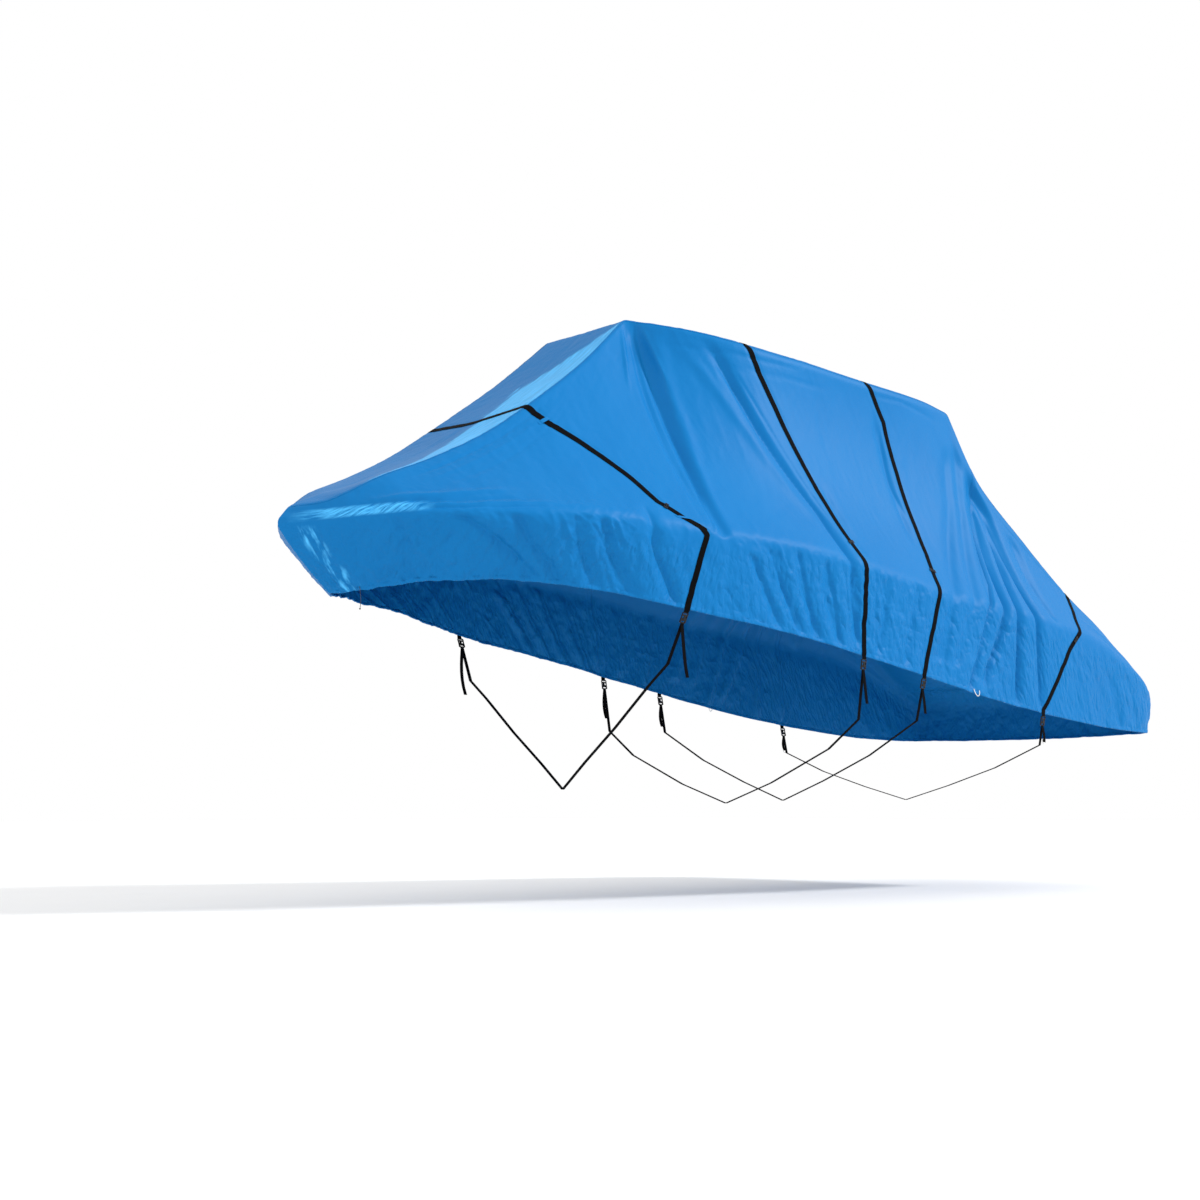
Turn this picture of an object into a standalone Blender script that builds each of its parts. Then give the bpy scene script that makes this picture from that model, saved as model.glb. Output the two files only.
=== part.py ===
"""T-top boat cover with its straps, buckles and ties, as draped. Metres, +X aft, +Y starboard, +Z up.

The origin is on the centreline, on the underside of the roof cloth, where the boat's top holds the cover up.
Heights in the tables are above the ground the trailer stands on; ORIGIN moves them to the part's frame.
The cover is one sheet. Its surface has two coordinates: a section number, 0 at the stem and rising aft, and
`across`, which runs 0 on the centreline, 1 on the ridge or roof edge, 2 on the gunwale and 3 on the hem.
"""

import math

import bmesh
import bpy
import numpy as np
from mathutils import Vector

ORIGIN = np.array([-0.65, 0.0, 3.465])
PORT, STARBOARD = -1, 1

CLOTH = 0.002
WEBBING = 0.0022
LOOP_CLOTH = 0.0014
PIECE_GAP = 0.0003
CLEARANCE = 0.0007

# The cover's relief. A fold grows from its ends over these spans of `across`, from a part of its depth.
FOLD_START = 0.3
FOLD_FADE_TOP = 0.12
FOLD_FADE_FOOT = 0.15
CENTRE_BLEND = 0.12
RIPPLE_HEIGHT = 0.0045
RIPPLE_TOP, RIPPLE_SPAN = 2.05, 0.9
RIPPLE_TURN = 0.6
RIPPLES = ((9.1, 1.0, 0.0, 1.3), (15.7, 0.7, 0.8, 1.0))
COLUMN_PITCH = 0.18

# Straps, buckles, slide bars and belt loops. Sizes of a block are along, across and out of the strap.
OVER_WIDTH = 0.038
BELLY_WIDTH = 0.025
WIDEST_SHARE = 0.42
STRAP_OVERHANG = 0.022
BUCKLE = (0.066, 0.048, 0.012)
BUCKLE_BEVEL = 0.003
KEEPER = (0.022, 0.062, 0.0035)
KEEPER_BEVEL = 0.0012
KEEPER_LIFT = 0.0008
LOOP_LENGTH = 0.024
LOOP_LIFT = 0.0030
LOOP_SEAT = 0.0008
LOOP_INNER, LOOP_LEG, LOOP_FOOT = 0.0030, 0.0045, 0.0085
TAIL_OFFSET = 0.0030
TAIL_LEAD = 0.008
TAIL_CURL_SHARE = 0.12
TAIL_SWAY = 0.010
TAIL_SWAY_TURN = 2.6
TAIL_STEPS = 6

# Cords. A route is points of the middle line: (aft, down) on the skirt for the hem cord, steps along the axes
# for the bow cord.
CORD_RADIUS = 0.0025
CORD_POINTS = 28
HEM_CORD_X = 0.31
HEM_CORD_ACROSS = 2.965
HEM_CORD_ROUTE = (
    (-0.029, -0.004), (-0.025, 0.010), (-0.016, 0.027), (-0.004, 0.040),
    (0.007, 0.043), (0.018, 0.036), (0.026, 0.022), (0.028, 0.004),
)
BOW_CORD_RADIUS = 0.0016
BOW_CORD_COLUMN = 2
BOW_CORD_ACROSS = 2.97
BOW_CORD_SEAT = 0.014
BOW_CORD_RISE = 0.0016
BOW_CORD_ROUTE = (
    (0.0, 0.0, 0.0), (0.001, -0.001, -0.020), (0.004, -0.002, -0.045),
    (0.006, 0.0, -0.075), (0.004, 0.002, -0.105),
)
BOW_KNOT_RADIUS = 0.005

# The D-ring at the end of the last strap's tail: the tail's end is turned round its bar and back up.
RING_HALF_WIDTH = 0.0165
RING_CORNER = 0.0025
RING_DROP = 0.017
RING_WIRE = 0.0016
RING_ARC_STEPS = 14
RING_GAP = 0.0006
RING_TURN_STEPS = 6
RING_RETURN = 0.016

# Sections of the draped cover from stem to stern. Each row is one section of one side:
# the centreline point (sx, sz), the ridge or roof edge (rx, ry, rz), the gunwale (kx, ky, kz), the hem
# (hx, hy, hz), how far the slope hangs in below a straight line, how far the skirt stands out from one, and
# the rounding of ridge and gunwale.
SECTION_COLUMNS = (
    "name", "sx", "sz", "rx", "ry", "rz", "kx", "ky", "kz", "hx", "hy", "hz", "sag", "bulge", "rr", "kr",
)
SECTIONS = (
    ("stem", -4.12, 2.215, -4.175, 0.0, 2.185, -4.252, 0.0, 2.09, -3.905, 0.0, 1.74, 0.0, 0.022, 0.03, 0.05),
    ("nose", -4.05, 2.245, -4.07, 0.175, 2.205, -4.12, 0.2, 2.09, -3.825, 0.12, 1.745, 0.0, 0.02, 0.03, 0.05),
    ("bow_rail", -3.96, 2.285, -3.97, 0.275, 2.262, -3.985, 0.4, 2.1,
     -3.715, 0.26, 1.765, 0.0, 0.014, 0.03, 0.05),
    ("fore_1", -3.82, 2.335, -3.83, 0.345, 2.348, -3.82, 0.6, 2.12,
     -3.585, 0.44, 1.79, 0.0, 0.008, 0.03, 0.06),
    ("fore_2", -3.55, 2.465, -3.55, 0.405, 2.475, -3.52, 0.83, 2.14,
     -3.32, 0.64, 1.805, 0.01, 0.006, 0.03, 0.08),
    ("fore_3", -3.2, 2.65, -3.2, 0.445, 2.66, -3.12, 1.0, 2.165, -2.96, 0.81, 1.795, 0.02, 0.004, 0.03, 0.09),
    ("fore_4", -2.9, 2.855, -2.9, 0.455, 2.865, -2.78, 1.08, 2.17, -2.65, 0.91, 1.767, 0.03, 0.0, 0.03, 0.09),
    ("fore_5", -2.45, 3.183, -2.45, 0.42, 3.193, -2.4, 1.13, 2.165,
     -2.33, 1.01, 1.721, 0.05, 0.0, 0.03, 0.08),
    ("roof_fore", -2.03, 3.557, -2.02, 0.36, 3.568, -2.02, 1.17, 2.15,
     -1.98, 1.08, 1.673, 0.08, 0.0, 0.02, 0.06),
    ("roof_1", -1.72, 3.54, -1.72, 0.62, 3.516, -1.68, 1.2, 2.135, -1.65, 1.125, 1.637, 0.1, 0.0, 0.05, 0.05),
    ("roof_2", -1.35, 3.508, -1.35, 0.8, 3.455, -1.3, 1.22, 2.12, -1.27, 1.155, 1.59, 0.11, 0.0, 0.07, 0.05),
    ("roof_3", -0.8, 3.475, -0.8, 0.85, 3.42, -0.78, 1.235, 2.075, -0.77, 1.18, 1.512, 0.12, 0.0, 0.07, 0.05),
    ("roof_4", -0.1, 3.44, -0.1, 0.85, 3.39, -0.08, 1.24, 1.975, -0.08, 1.2, 1.402, 0.12, 0.0, 0.07, 0.05),
    ("roof_5", 0.35, 3.423, 0.35, 0.83, 3.381, 0.4, 1.24, 1.935, 0.4, 1.2, 1.325, 0.1, 0.0, 0.07, 0.05),
    ("roof_aft", 0.7, 3.39, 0.71, 0.79, 3.347, 0.8, 1.235, 1.905, 0.8, 1.2, 1.272, 0.08, 0.0, 0.05, 0.05),
    ("aft_1", 0.92, 2.9, 0.93, 0.86, 2.905, 1.1, 1.23, 1.88, 1.1, 1.2, 1.237, 0.05, 0.0, 0.05, 0.05),
    ("aft_2", 1.35, 2.47, 1.36, 0.965, 2.468, 1.45, 1.22, 1.85, 1.45, 1.19, 1.203, 0.03, 0.0, 0.05, 0.05),
    ("aft_3", 1.75, 2.128, 1.76, 1.04, 2.126, 1.85, 1.205, 1.79, 1.85, 1.18, 1.17, 0.01, 0.0, 0.05, 0.05),
    ("aft_4", 2.14, 1.873, 2.15, 1.085, 1.876, 2.2, 1.19, 1.68, 2.2, 1.165, 1.151, 0.0, 0.0, 0.05, 0.05),
    ("quarter", 2.5, 1.638, 2.5, 1.09, 1.648, 2.565, 1.165, 1.54, 2.565, 1.135, 1.142, 0.0, 0.01, 0.05, 0.05),
    ("corner", 2.62, 1.577, 2.66, 1.02, 1.557, 2.775, 1.08, 1.45, 2.76, 1.07, 1.142, 0.0, 0.022, 0.05, 0.05),
    ("transom", 2.66, 1.565, 2.7, 0.6, 1.545, 2.85, 0.65, 1.43, 2.81, 0.65, 1.132, 0.0, 0.02, 0.05, 0.05),
    ("stern", 2.68, 1.56, 2.72, 0.0, 1.54, 2.87, 0.0, 1.43, 2.83, 0.0, 1.127, 0.0, 0.018, 0.05, 0.05),
)
CORNER_SECTIONS = ("roof_fore", "roof_aft")


def column(name):
    """The values of one column of SECTIONS, as an array."""
    index = SECTION_COLUMNS.index(name)
    return np.array([row[index] for row in SECTIONS])


def section_number(name):
    return [row[0] for row in SECTIONS].index(name)


def spline(values, at):
    """A smooth curve through a column of SECTIONS that doesn't overshoot, and is sharp at CORNER_SECTIONS."""
    steps = np.diff(values)
    inner = np.where(steps[:-1] * steps[1:] > 0, 2 * steps[:-1] * steps[1:], 0.0)
    inner = inner / np.where(inner > 0, steps[:-1] + steps[1:], 1.0)
    leaving = np.concatenate([steps[:1], inner, steps[-1:]])
    arriving = leaving.copy()
    for name in CORNER_SECTIONS:
        corner = section_number(name)
        leaving[corner] = steps[corner]
        arriving[corner] = steps[corner - 1]
    low = np.clip(np.floor(at).astype(int), 0, len(values) - 2)
    t = at - low
    start, end = values[low], values[low + 1]
    from_slope, to_slope = leaving[low], arriving[low + 1]
    cubic = 2 * t**3 - 3 * t**2
    leave = from_slope * (t**3 - 2 * t**2 + t)
    arrive = to_slope * (t**3 - t**2)
    return start * (1 + cubic) - end * cubic + leave + arrive


def curve(letters, at):
    """The point of the centreline (s), ridge (r), gunwale (k) or hem (h) at section numbers `at`."""
    y = np.zeros_like(at) if letters == "s" else spline(column(letters + "y"), at)
    return np.stack([spline(column(letters + "x"), at), y, spline(column(letters + "z"), at)], axis=-1)


def base_surface(at, across):
    """Points of the smooth cover: `across` runs 0 centreline, 1 ridge, 2 gunwale, 3 hem."""
    at, across = np.broadcast_arrays(np.asarray(at, float), np.asarray(across, float))
    spine, ridge, knuckle, hem = (curve(letter, at) for letter in "srkh")
    drop = knuckle - ridge
    level = np.linalg.norm(drop[..., :2], axis=-1)
    length = np.linalg.norm(drop, axis=-1)
    outward = np.zeros_like(drop)
    outward[..., :2] = drop[..., :2] / np.maximum(level, 1e-9)[..., None]
    inward = outward * (drop[..., 2] / length)[..., None]
    inward[..., 2] -= level / length
    sag = spline(column("sag"), at)
    bulge = spline(column("bulge"), at)

    def top(t):
        return spine + (ridge - spine) * t[..., None]

    def slope(t):
        hang = sag * 4 * t * (1 - t)
        return ridge + drop * t[..., None] + inward * hang[..., None]

    def skirt(t):
        return knuckle + (hem - knuckle) * t[..., None] + outward * (bulge * 4 * t * (1 - t))[..., None]

    def rounded(before, after, t, width_before, width_after):
        """A corner at t = 0 between two legs, turned along a parabola. t runs -1 to 1 over it."""
        start = before(1 - width_before)
        middle = before(np.ones_like(width_before))
        end = after(width_after)
        u = ((t + 1) / 2)[..., None]
        return start * (1 - u) ** 2 + 2 * middle * u * (1 - u) + end * u**2

    ridge_round = spline(column("rr"), at)
    knuckle_round = spline(column("kr"), at)
    top_part = np.minimum(0.5, ridge_round / np.linalg.norm(ridge - spine, axis=-1))
    slope_part = np.minimum(0.35, ridge_round / length)
    low_part = np.minimum(0.35, knuckle_round / length)
    skirt_part = np.minimum(0.35, knuckle_round / np.linalg.norm(hem - knuckle, axis=-1))
    leg = np.clip(across, 0, 3)
    points = np.where((leg < 1)[..., None], top(np.clip(leg, 0, 1)), slope(np.clip(leg - 1, 0, 1)))
    points = np.where((leg > 2)[..., None], skirt(np.clip(leg - 2, 0, 1)), points)
    for corner, before, after, before_part, after_part in (
        (1, top, slope, top_part, slope_part),
        (2, slope, skirt, low_part, skirt_part),
    ):
        offset = leg - corner
        turn = np.where(offset < 0, offset / before_part, offset / after_part)
        near = np.abs(turn) < 1
        bend = rounded(before, after, np.clip(turn, -1, 1), before_part, after_part)
        points = np.where(near[..., None], bend, points)
    return points


# The main folds. Depth is outward in metres at the fold's middle, on port and on starboard; width is its
# half-width along X; the path is (across, x) from its upper end down.
FOLD_COLUMNS = ("name", "port", "starboard", "width", "path")
FOLDS = (
    ("corner_fold_fore", -0.016, -0.012, 0.035, ((1.02, -2.03), (1.5, -2.05), (1.90, -2.07))),
    ("corner_fold", -0.028, -0.020, 0.040, ((1.02, -1.97), (1.4, -1.965), (1.75, -1.975), (2.06, -2.00))),
    ("corner_crest", 0.012, 0.010, 0.040, ((1.05, -1.90), (1.5, -1.88), (1.95, -1.96))),
    ("strap_2_fold", -0.026, -0.014, 0.045,
     ((1.05, -1.62), (1.4, -1.35), (1.75, -1.02), (2.0, -0.91), (2.9, -0.82))),
    ("strap_2_crest", 0.010, 0.008, 0.050, ((1.1, -1.75), (1.4, -1.48), (1.8, -1.14))),
    ("strap_2_aft_fold", -0.010, -0.012, 0.040, ((1.6, -0.90), (1.95, -0.73))),
    ("strap_3_fold", -0.014, -0.010, 0.035, ((1.15, -0.20), (1.45, -0.12), (1.75, -0.07))),
    ("roof_aft_fold_1", -0.020, -0.024, 0.060, ((1.2, 0.62), (1.5, 0.50), (2.0, 0.13), (2.8, -0.02))),
    ("roof_aft_fold_2", -0.018, -0.012, 0.050, ((1.15, 0.76), (1.5, 0.64), (2.0, 0.36), (2.8, 0.14))),
    ("roof_aft_fold_3", -0.020, -0.018, 0.035,
     ((1.1, 0.88), (1.65, 0.71), (2.0, 0.54), (2.5, 0.44), (3.0, 0.31))),
    ("roof_aft_fold_4", -0.032, -0.020, 0.045,
     ((1.15, 0.89), (1.7, 0.78), (2.0, 0.73), (2.3, 0.66), (2.9, 0.47))),
    ("roof_aft_fold_5", -0.030, -0.026, 0.040, ((1.15, 0.92), (1.6, 0.93), (2.0, 0.885), (3.0, 0.87))),
    ("roof_aft_fold_6", -0.028, -0.020, 0.045, ((1.15, 0.96), (1.6, 1.03), (2.0, 1.11), (3.0, 1.17))),
    ("quarter_fold", -0.014, -0.020, 0.050, ((1.2, 1.20), (1.6, 1.26), (2.0, 1.36))),
    ("skirt_fold_1", -0.010, -0.012, 0.040, ((2.05, -3.84), (2.95, -3.64))),
    ("skirt_fold_2", -0.022, -0.014, 0.050, ((2.05, -3.60), (2.5, -3.34), (3.0, -3.08))),
    ("skirt_fold_3", -0.020, -0.020, 0.045, ((2.05, -3.34), (2.5, -3.18), (3.0, -2.93))),
    ("skirt_fold_4", -0.016, -0.020, 0.045, ((2.05, -3.00), (2.5, -2.90), (3.0, -2.74))),
    ("skirt_fold_5", -0.016, -0.010, 0.045, ((2.05, -2.86), (2.5, -2.72), (3.0, -2.52))),
    ("skirt_fold_6", -0.018, -0.014, 0.045, ((1.9, -2.52), (2.4, -2.46), (3.0, -2.25))),
    ("skirt_fold_7", -0.016, -0.020, 0.045, ((2.2, -1.78), (2.65, -1.62), (3.0, -1.48))),
    ("skirt_fold_8", -0.018, -0.016, 0.040, ((2.1, -1.62), (2.6, -1.46), (3.0, -1.32))),
    ("skirt_fold_9", -0.020, -0.020, 0.045, ((2.05, -1.40), (2.5, -1.32), (3.0, -1.16))),
    ("skirt_fold_10", -0.022, -0.018, 0.045, ((2.1, -1.14), (2.5, -1.12), (3.0, -0.97))),
    ("skirt_fold_11", -0.014, -0.014, 0.040, ((2.1, -0.60), (2.6, -0.58), (3.0, -0.64))),
    ("skirt_fold_12", -0.014, -0.012, 0.040, ((2.0, -0.24), (2.4, -0.30), (3.0, -0.37))),
    ("stern_fold", -0.012, -0.014, 0.060, ((2.3, 2.05), (3.0, 2.25))),
)

# The straps over the cover. Each path is (across, x) on either side, and track_half is half the width of the
# flat track that the cloth has under it. keeper and loops are rows of the cover. The belly strap follows the
# hull, in (y, z) from the buckle to the keel, at belly_x. tail is the loose end's length, ring says if it
# ends in one.
STRAP_COLUMNS = ("name", "path", "track_half", "keeper", "loops", "belly_x", "belly", "tail", "ring")
STRAPS = (
    ("strap_1",
     ((0.0, -2.94), (1.0, -2.895), (1.17, -2.825), (1.5, -2.60), (1.7, -2.465), (1.86, -2.385),
      (1.955, -2.265), (2.0, -2.155), (2.08, -2.125), (2.4, -2.15), (3.0, -2.185)),
     0.046, 1.86, (1.16, 1.955), -2.20,
     ((0.90, 1.395), (0.74, 1.275), (0.46, 1.045), (0.20, 0.850), (0.0, 0.690)), 0.30, False),
    ("strap_2",
     ((0.0, -1.40), (1.0, -1.375), (1.13, -1.29), (1.26, -1.19), (1.5, -1.03), (1.7, -0.915),
      (1.85, -0.85), (2.0, -0.79), (3.0, -0.76)),
     0.034, 1.86, (), -0.76,
     ((1.12, 1.120), (0.88, 0.945), (0.40, 0.740), (0.0, 0.610)), 0.20, False),
    ("strap_3",
     ((0.0, -0.28), (1.0, -0.26), (1.17, -0.10), (1.4, -0.025), (1.65, 0.02), (1.8, 0.02),
      (2.0, -0.04), (2.5, -0.11), (3.0, -0.185)),
     0.032, 1.86, (), -0.19,
     ((1.135, 1.130), (0.75, 0.920), (0.36, 0.760), (0.0, 0.630)), 0.15, False),
    ("strap_4",
     ((0.0, 1.70), (1.0, 1.76), (1.5, 1.73), (2.0, 1.655), (2.24, 1.51), (2.84, 1.25), (3.0, 1.18)),
     0.036, 2.08, (), 1.18,
     ((1.15, 1.010), (0.78, 0.860), (0.38, 0.740), (0.0, 0.640)), 0.10, True),
)

# The columns of the cover's mesh that follow a strap or a fold: x on the ridge, half down the slope, on the
# gunwale and on the hem. The straps' own columns are worked out from STRAPS.
TRACKS = (
    ("corner_fold_fore", -2.03, -2.05, -2.045, -2.06),
    ("corner_fold", -1.97, -1.965, -1.985, -2.00),
    ("strap_2_fold", -1.63, -1.26, -0.91, -0.83),
    ("roof_aft_fold_1", 0.50, 0.45, 0.13, -0.04),
    ("roof_aft_fold_3", 0.83, 0.74, 0.54, 0.32),
    ("roof_aft_fold_4", 0.88, 0.83, 0.72, 0.50),
    ("roof_aft_fold_5", 0.93, 0.93, 0.885, 0.87),
    ("roof_aft_fold_6", 1.02, 1.03, 1.10, 1.13),
)
BOW_COLUMNS = (0.0, 0.5, 1.0, 1.5, 2.0, 2.5, 3.0, 3.5, 4.0, 4.5, 5.0, 5.4)
STERN_COLUMNS = (18.3, 19.0, 19.6, 20.0, 20.5, 21.0, 21.5, 22.0)
ROWS = (
    0.0, 0.45, 0.82, 0.95, 1.0, 1.05, 1.16, 1.34, 1.52, 1.70, 1.86, 1.955, 2.0, 2.08, 2.25, 2.5, 2.75, 3.0,
)


def side_name(side):
    return "port" if side == PORT else "starboard"


def ease(t):
    t = np.clip(t, 0, 1)
    return t * t * (3 - 2 * t)


def unit(vectors):
    return vectors / np.maximum(np.linalg.norm(vectors, axis=-1, keepdims=True), 1e-12)


def fold_height(x, across, side):
    """How far the folds push the cloth out, at stations x and `across` of one side."""
    height = np.zeros_like(x)
    for _, port, starboard, width, path in FOLDS:
        stops = [stop for stop, _ in path]
        middle = np.interp(across, stops, [station for _, station in path])
        grown = ease((across - stops[0]) / FOLD_FADE_TOP + FOLD_START)
        fade = grown * ease((stops[-1] - across) / FOLD_FADE_FOOT + FOLD_START)
        depth = port if side == PORT else starboard
        height += depth * fade * np.exp(-(((x - middle) / width) ** 2))
    return height


def ripple_height(x, y, across, side):
    """The slack of the skirt: uneven waves that grow from the gunwale to the hem."""
    run = x + RIPPLE_TURN * np.abs(y)
    waves = sum(share * np.sin(rate * run + phase + shift * side) for rate, share, phase, shift in RIPPLES)
    return RIPPLE_HEIGHT * waves * ease((across - RIPPLE_TOP) / RIPPLE_SPAN)


def surface(at, across, side, relief_at=None):
    """Points of the outer face of the draped cover, in the part's frame.

    The folds are read at section numbers `relief_at`: the same as `at`, but under a strap, where the cloth
    lies flat, the middle of its track.
    """
    at, across = np.broadcast_arrays(np.asarray(at, float), np.asarray(across, float))
    step = 0.01
    points = base_surface(at, across)
    aft, fore = np.minimum(at + step, len(SECTIONS) - 1), np.maximum(at - step, 0)
    low, high = np.minimum(across + step, 3), np.maximum(across - step, 0)
    along = base_surface(aft, across) - base_surface(fore, across)
    down = base_surface(at, low) - base_surface(at, high)
    outward = unit(np.cross(along, down))
    source = points if relief_at is None else base_surface(relief_at, across)
    x, y = source[..., 0], source[..., 1]
    height = fold_height(x, across, side) + ripple_height(x, y, across, side)
    inboard = ease(points[..., 1] / CENTRE_BLEND)
    points = points + outward * (height * inboard)[..., None]
    return points * np.array([1, side, 1]) - ORIGIN


def section_at(x, across):
    """The section number where the smooth surface's row `across` passes station x."""
    numbers = np.linspace(section_number("fore_1"), section_number("corner"), 1500)
    stations = base_surface(numbers, np.full_like(numbers, across))[:, 0]
    return float(np.interp(x, stations, numbers))


def track_sections(stops, stations):
    """A column of the mesh, as section numbers at ROWS, from its stations at some values of across."""
    return np.array([section_at(np.interp(row, stops, stations), row) for row in ROWS])


def strap_tracks(path, half):
    stops = [stop for stop, _ in path]
    stations = np.array([station for _, station in path])
    return [track_sections(stops, stations + side * half) for side in (-1, 1)]


def mesh_columns():
    """Section numbers of every column at every row, from stem to stern, and each strap's first column."""
    tracks = [(None, np.full(len(ROWS), number)) for number in BOW_COLUMNS]
    named = [(None, track_sections((1.0, 1.5, 2.0, 3.0), stations)) for _, *stations in TRACKS]
    for name, path, half, *_ in STRAPS:
        fore, aft = strap_tracks(path, half)
        named += [(name, fore), (None, aft)]
    tracks += sorted(named, key=lambda track: float(track[1].mean()))
    tracks += [(None, np.full(len(ROWS), number)) for number in STERN_COLUMNS]
    rows = np.array(ROWS)
    columns, strap_columns = [], {}
    for (name, here), (_, following) in zip(tracks, tracks[1:] + [(None, None)]):
        if name:
            strap_columns[name] = len(columns)
        columns.append(here)
        if following is None or name or here[0] < BOW_COLUMNS[-1] or here[0] >= STERN_COLUMNS[0]:
            continue
        gap = surface(following, rows, PORT)[:, 0] - surface(here, rows, PORT)[:, 0]
        fills = max(0, math.ceil(gap.max() / COLUMN_PITCH) - 1)
        columns += [here + (following - here) * (k + 1) / (fills + 1) for k in range(fills)]
    return np.array(columns), strap_columns


def facet_normals(points, faces):
    """Unit normals of the vertices of a mesh of quads, from the area vectors of the quads round them."""
    corners = points[faces]
    area = np.cross(corners[:, 2] - corners[:, 0], corners[:, 3] - corners[:, 1])
    normals = np.zeros_like(points)
    for k in range(4):
        np.add.at(normals, faces[:, k], area)
    return unit(normals)


def cover_sheet():
    """The outer face of the cover: points, quads and, for each side, the point number at [column, row]."""
    columns, strap_columns = mesh_columns()
    rows = np.array(ROWS)
    count, depth = columns.shape
    relief_at = columns.copy()
    for column in strap_columns.values():
        relief_at[column : column + 2] = columns[column : column + 2].mean(axis=0)
    points, number = [], {}
    for side in (PORT, STARBOARD):
        grid = surface(columns, rows[None, :], side, relief_at)
        number[side] = np.zeros((count, depth), int)
        for i in range(count):
            for j in range(depth):
                shared = side == STARBOARD and (j == 0 or i in (0, count - 1))
                if shared:
                    number[side][i, j] = number[PORT][i, j]
                    continue
                number[side][i, j] = len(points)
                point = grid[i, j]
                if j == 0 or i in (0, count - 1):
                    point[1] = 0.0
                points.append(point)
    faces = []
    for side in (PORT, STARBOARD):
        n = number[side]
        for i in range(count - 1):
            for j in range(depth - 1):
                quad = [n[i, j], n[i, j + 1], n[i + 1, j + 1], n[i + 1, j]]
                if (i, j) == (count - 2, 0):
                    quad = quad[1:] + quad[:1]
                faces.append(quad if side == PORT else [quad[0], quad[3], quad[2], quad[1]])
    return np.array(points), np.array(faces), number, strap_columns


def cloth_body(points, faces, rim, normals):
    """The sheet as a closed body: its outer face, its inner face a cloth's thickness in, and the hem."""
    count = len(points)
    everything = np.concatenate([points, points - normals * CLOTH])
    quads = [list(face) for face in faces]
    quads += [[a + count, d + count, c + count, b + count] for a, b, c, d in faces]
    for here, following in zip(rim, rim[1:] + rim[:1]):
        quads.append([here, here + count, following + count, following])
    return everything, quads


def triangles(quads):
    """Each quad as two triangles on its first diagonal, so that pieces laid on it follow the same facets."""
    split = []
    for a, b, c, d in quads:
        split += [(a, b, c), (a, c, d)]
    return split


MATERIALS = {
    "cover_cloth": ((0.020, 0.235, 0.640, 1.0), 0.62, 0.0),
    "webbing": ((0.008, 0.008, 0.010, 1.0), 0.72, 0.0),
    "buckle_plastic": ((0.010, 0.010, 0.011, 1.0), 0.38, 0.0),
    "white_cord": ((0.780, 0.780, 0.760, 1.0), 0.60, 0.0),
    "black_cord": ((0.012, 0.012, 0.013, 1.0), 0.65, 0.0),
    "ring_metal": ((0.720, 0.720, 0.710, 1.0), 0.35, 1.0),
}


def material(name):
    made = bpy.data.materials.get(name)
    if made:
        return made
    colour, roughness, metallic = MATERIALS[name]
    made = bpy.data.materials.new(name)
    made.use_nodes = True
    shader = made.node_tree.nodes["Principled BSDF"]
    shader.inputs["Base Color"].default_value = colour
    shader.inputs["Roughness"].default_value = roughness
    shader.inputs["Metallic"].default_value = metallic
    return made


def add_mesh(name, points, faces, finish):
    mesh = bpy.data.meshes.new(name)
    mesh.from_pydata([tuple(map(float, point)) for point in points], [], [tuple(map(int, f)) for f in faces])
    solid = bmesh.new()
    solid.from_mesh(mesh)
    bmesh.ops.recalc_face_normals(solid, faces=solid.faces)
    if solid.calc_volume(signed=True) < 0:
        bmesh.ops.reverse_faces(solid, faces=solid.faces)
    solid.to_mesh(mesh)
    solid.free()
    mesh.shade_smooth()
    mesh.set_sharp_from_angle(angle=math.radians(40))
    obj = bpy.data.objects.new(name, mesh)
    obj.data.materials.append(material(finish))
    bpy.context.scene.collection.objects.link(obj)
    return obj


def ribbon(name, fore, aft, outward, thickness, finish, turned=0):
    """A flat band whose inner face runs through the fore and aft edge points, thick towards `outward`.

    Each stretch is two triangles; the first `turned` stretches are split on the other diagonal.
    """
    fore, aft, outward = (np.asarray(values, float) for values in (fore, aft, outward))
    raised = outward * thickness
    points = np.stack([fore, aft, aft + raised, fore + raised], axis=1).reshape(-1, 3)
    last = len(fore) - 1
    faces = [(0, 1, 2), (0, 2, 3)]
    for k in range(last):
        a, b = 4 * k, 4 * (k + 1)
        for low, high in ((a, a + 1), (a + 3, a + 2)):
            low_next, high_next = low + 4, high + 4
            if k < turned:
                faces += [(low, low_next, high), (low_next, high_next, high)]
            else:
                faces += [(low, low_next, high_next), (low, high_next, high)]
        faces += [(a, a + 3, b + 3), (a, b + 3, b)]
        faces += [(a + 1, b + 1, b + 2), (a + 1, b + 2, a + 2)]
    end = 4 * last
    faces += [(end, end + 2, end + 1), (end, end + 3, end + 2)]
    return add_mesh(name, points, faces, finish)


def block(name, centre, axes, size, bevel, finish):
    """A box with bevelled edges, `size` along its three axes."""
    made = bmesh.new()
    bmesh.ops.create_cube(made, size=1.0)
    bmesh.ops.scale(made, vec=Vector(size), verts=made.verts)
    bmesh.ops.bevel(made, geom=made.edges, offset=bevel, segments=1, profile=0.5, affect="EDGES")
    turn = np.array(axes).T
    points = [turn @ np.array(vert.co) + centre for vert in made.verts]
    made.verts.index_update()
    faces = [[vert.index for vert in face.verts] for face in made.faces]
    made.free()
    return add_mesh(name, points, faces, finish)


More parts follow.
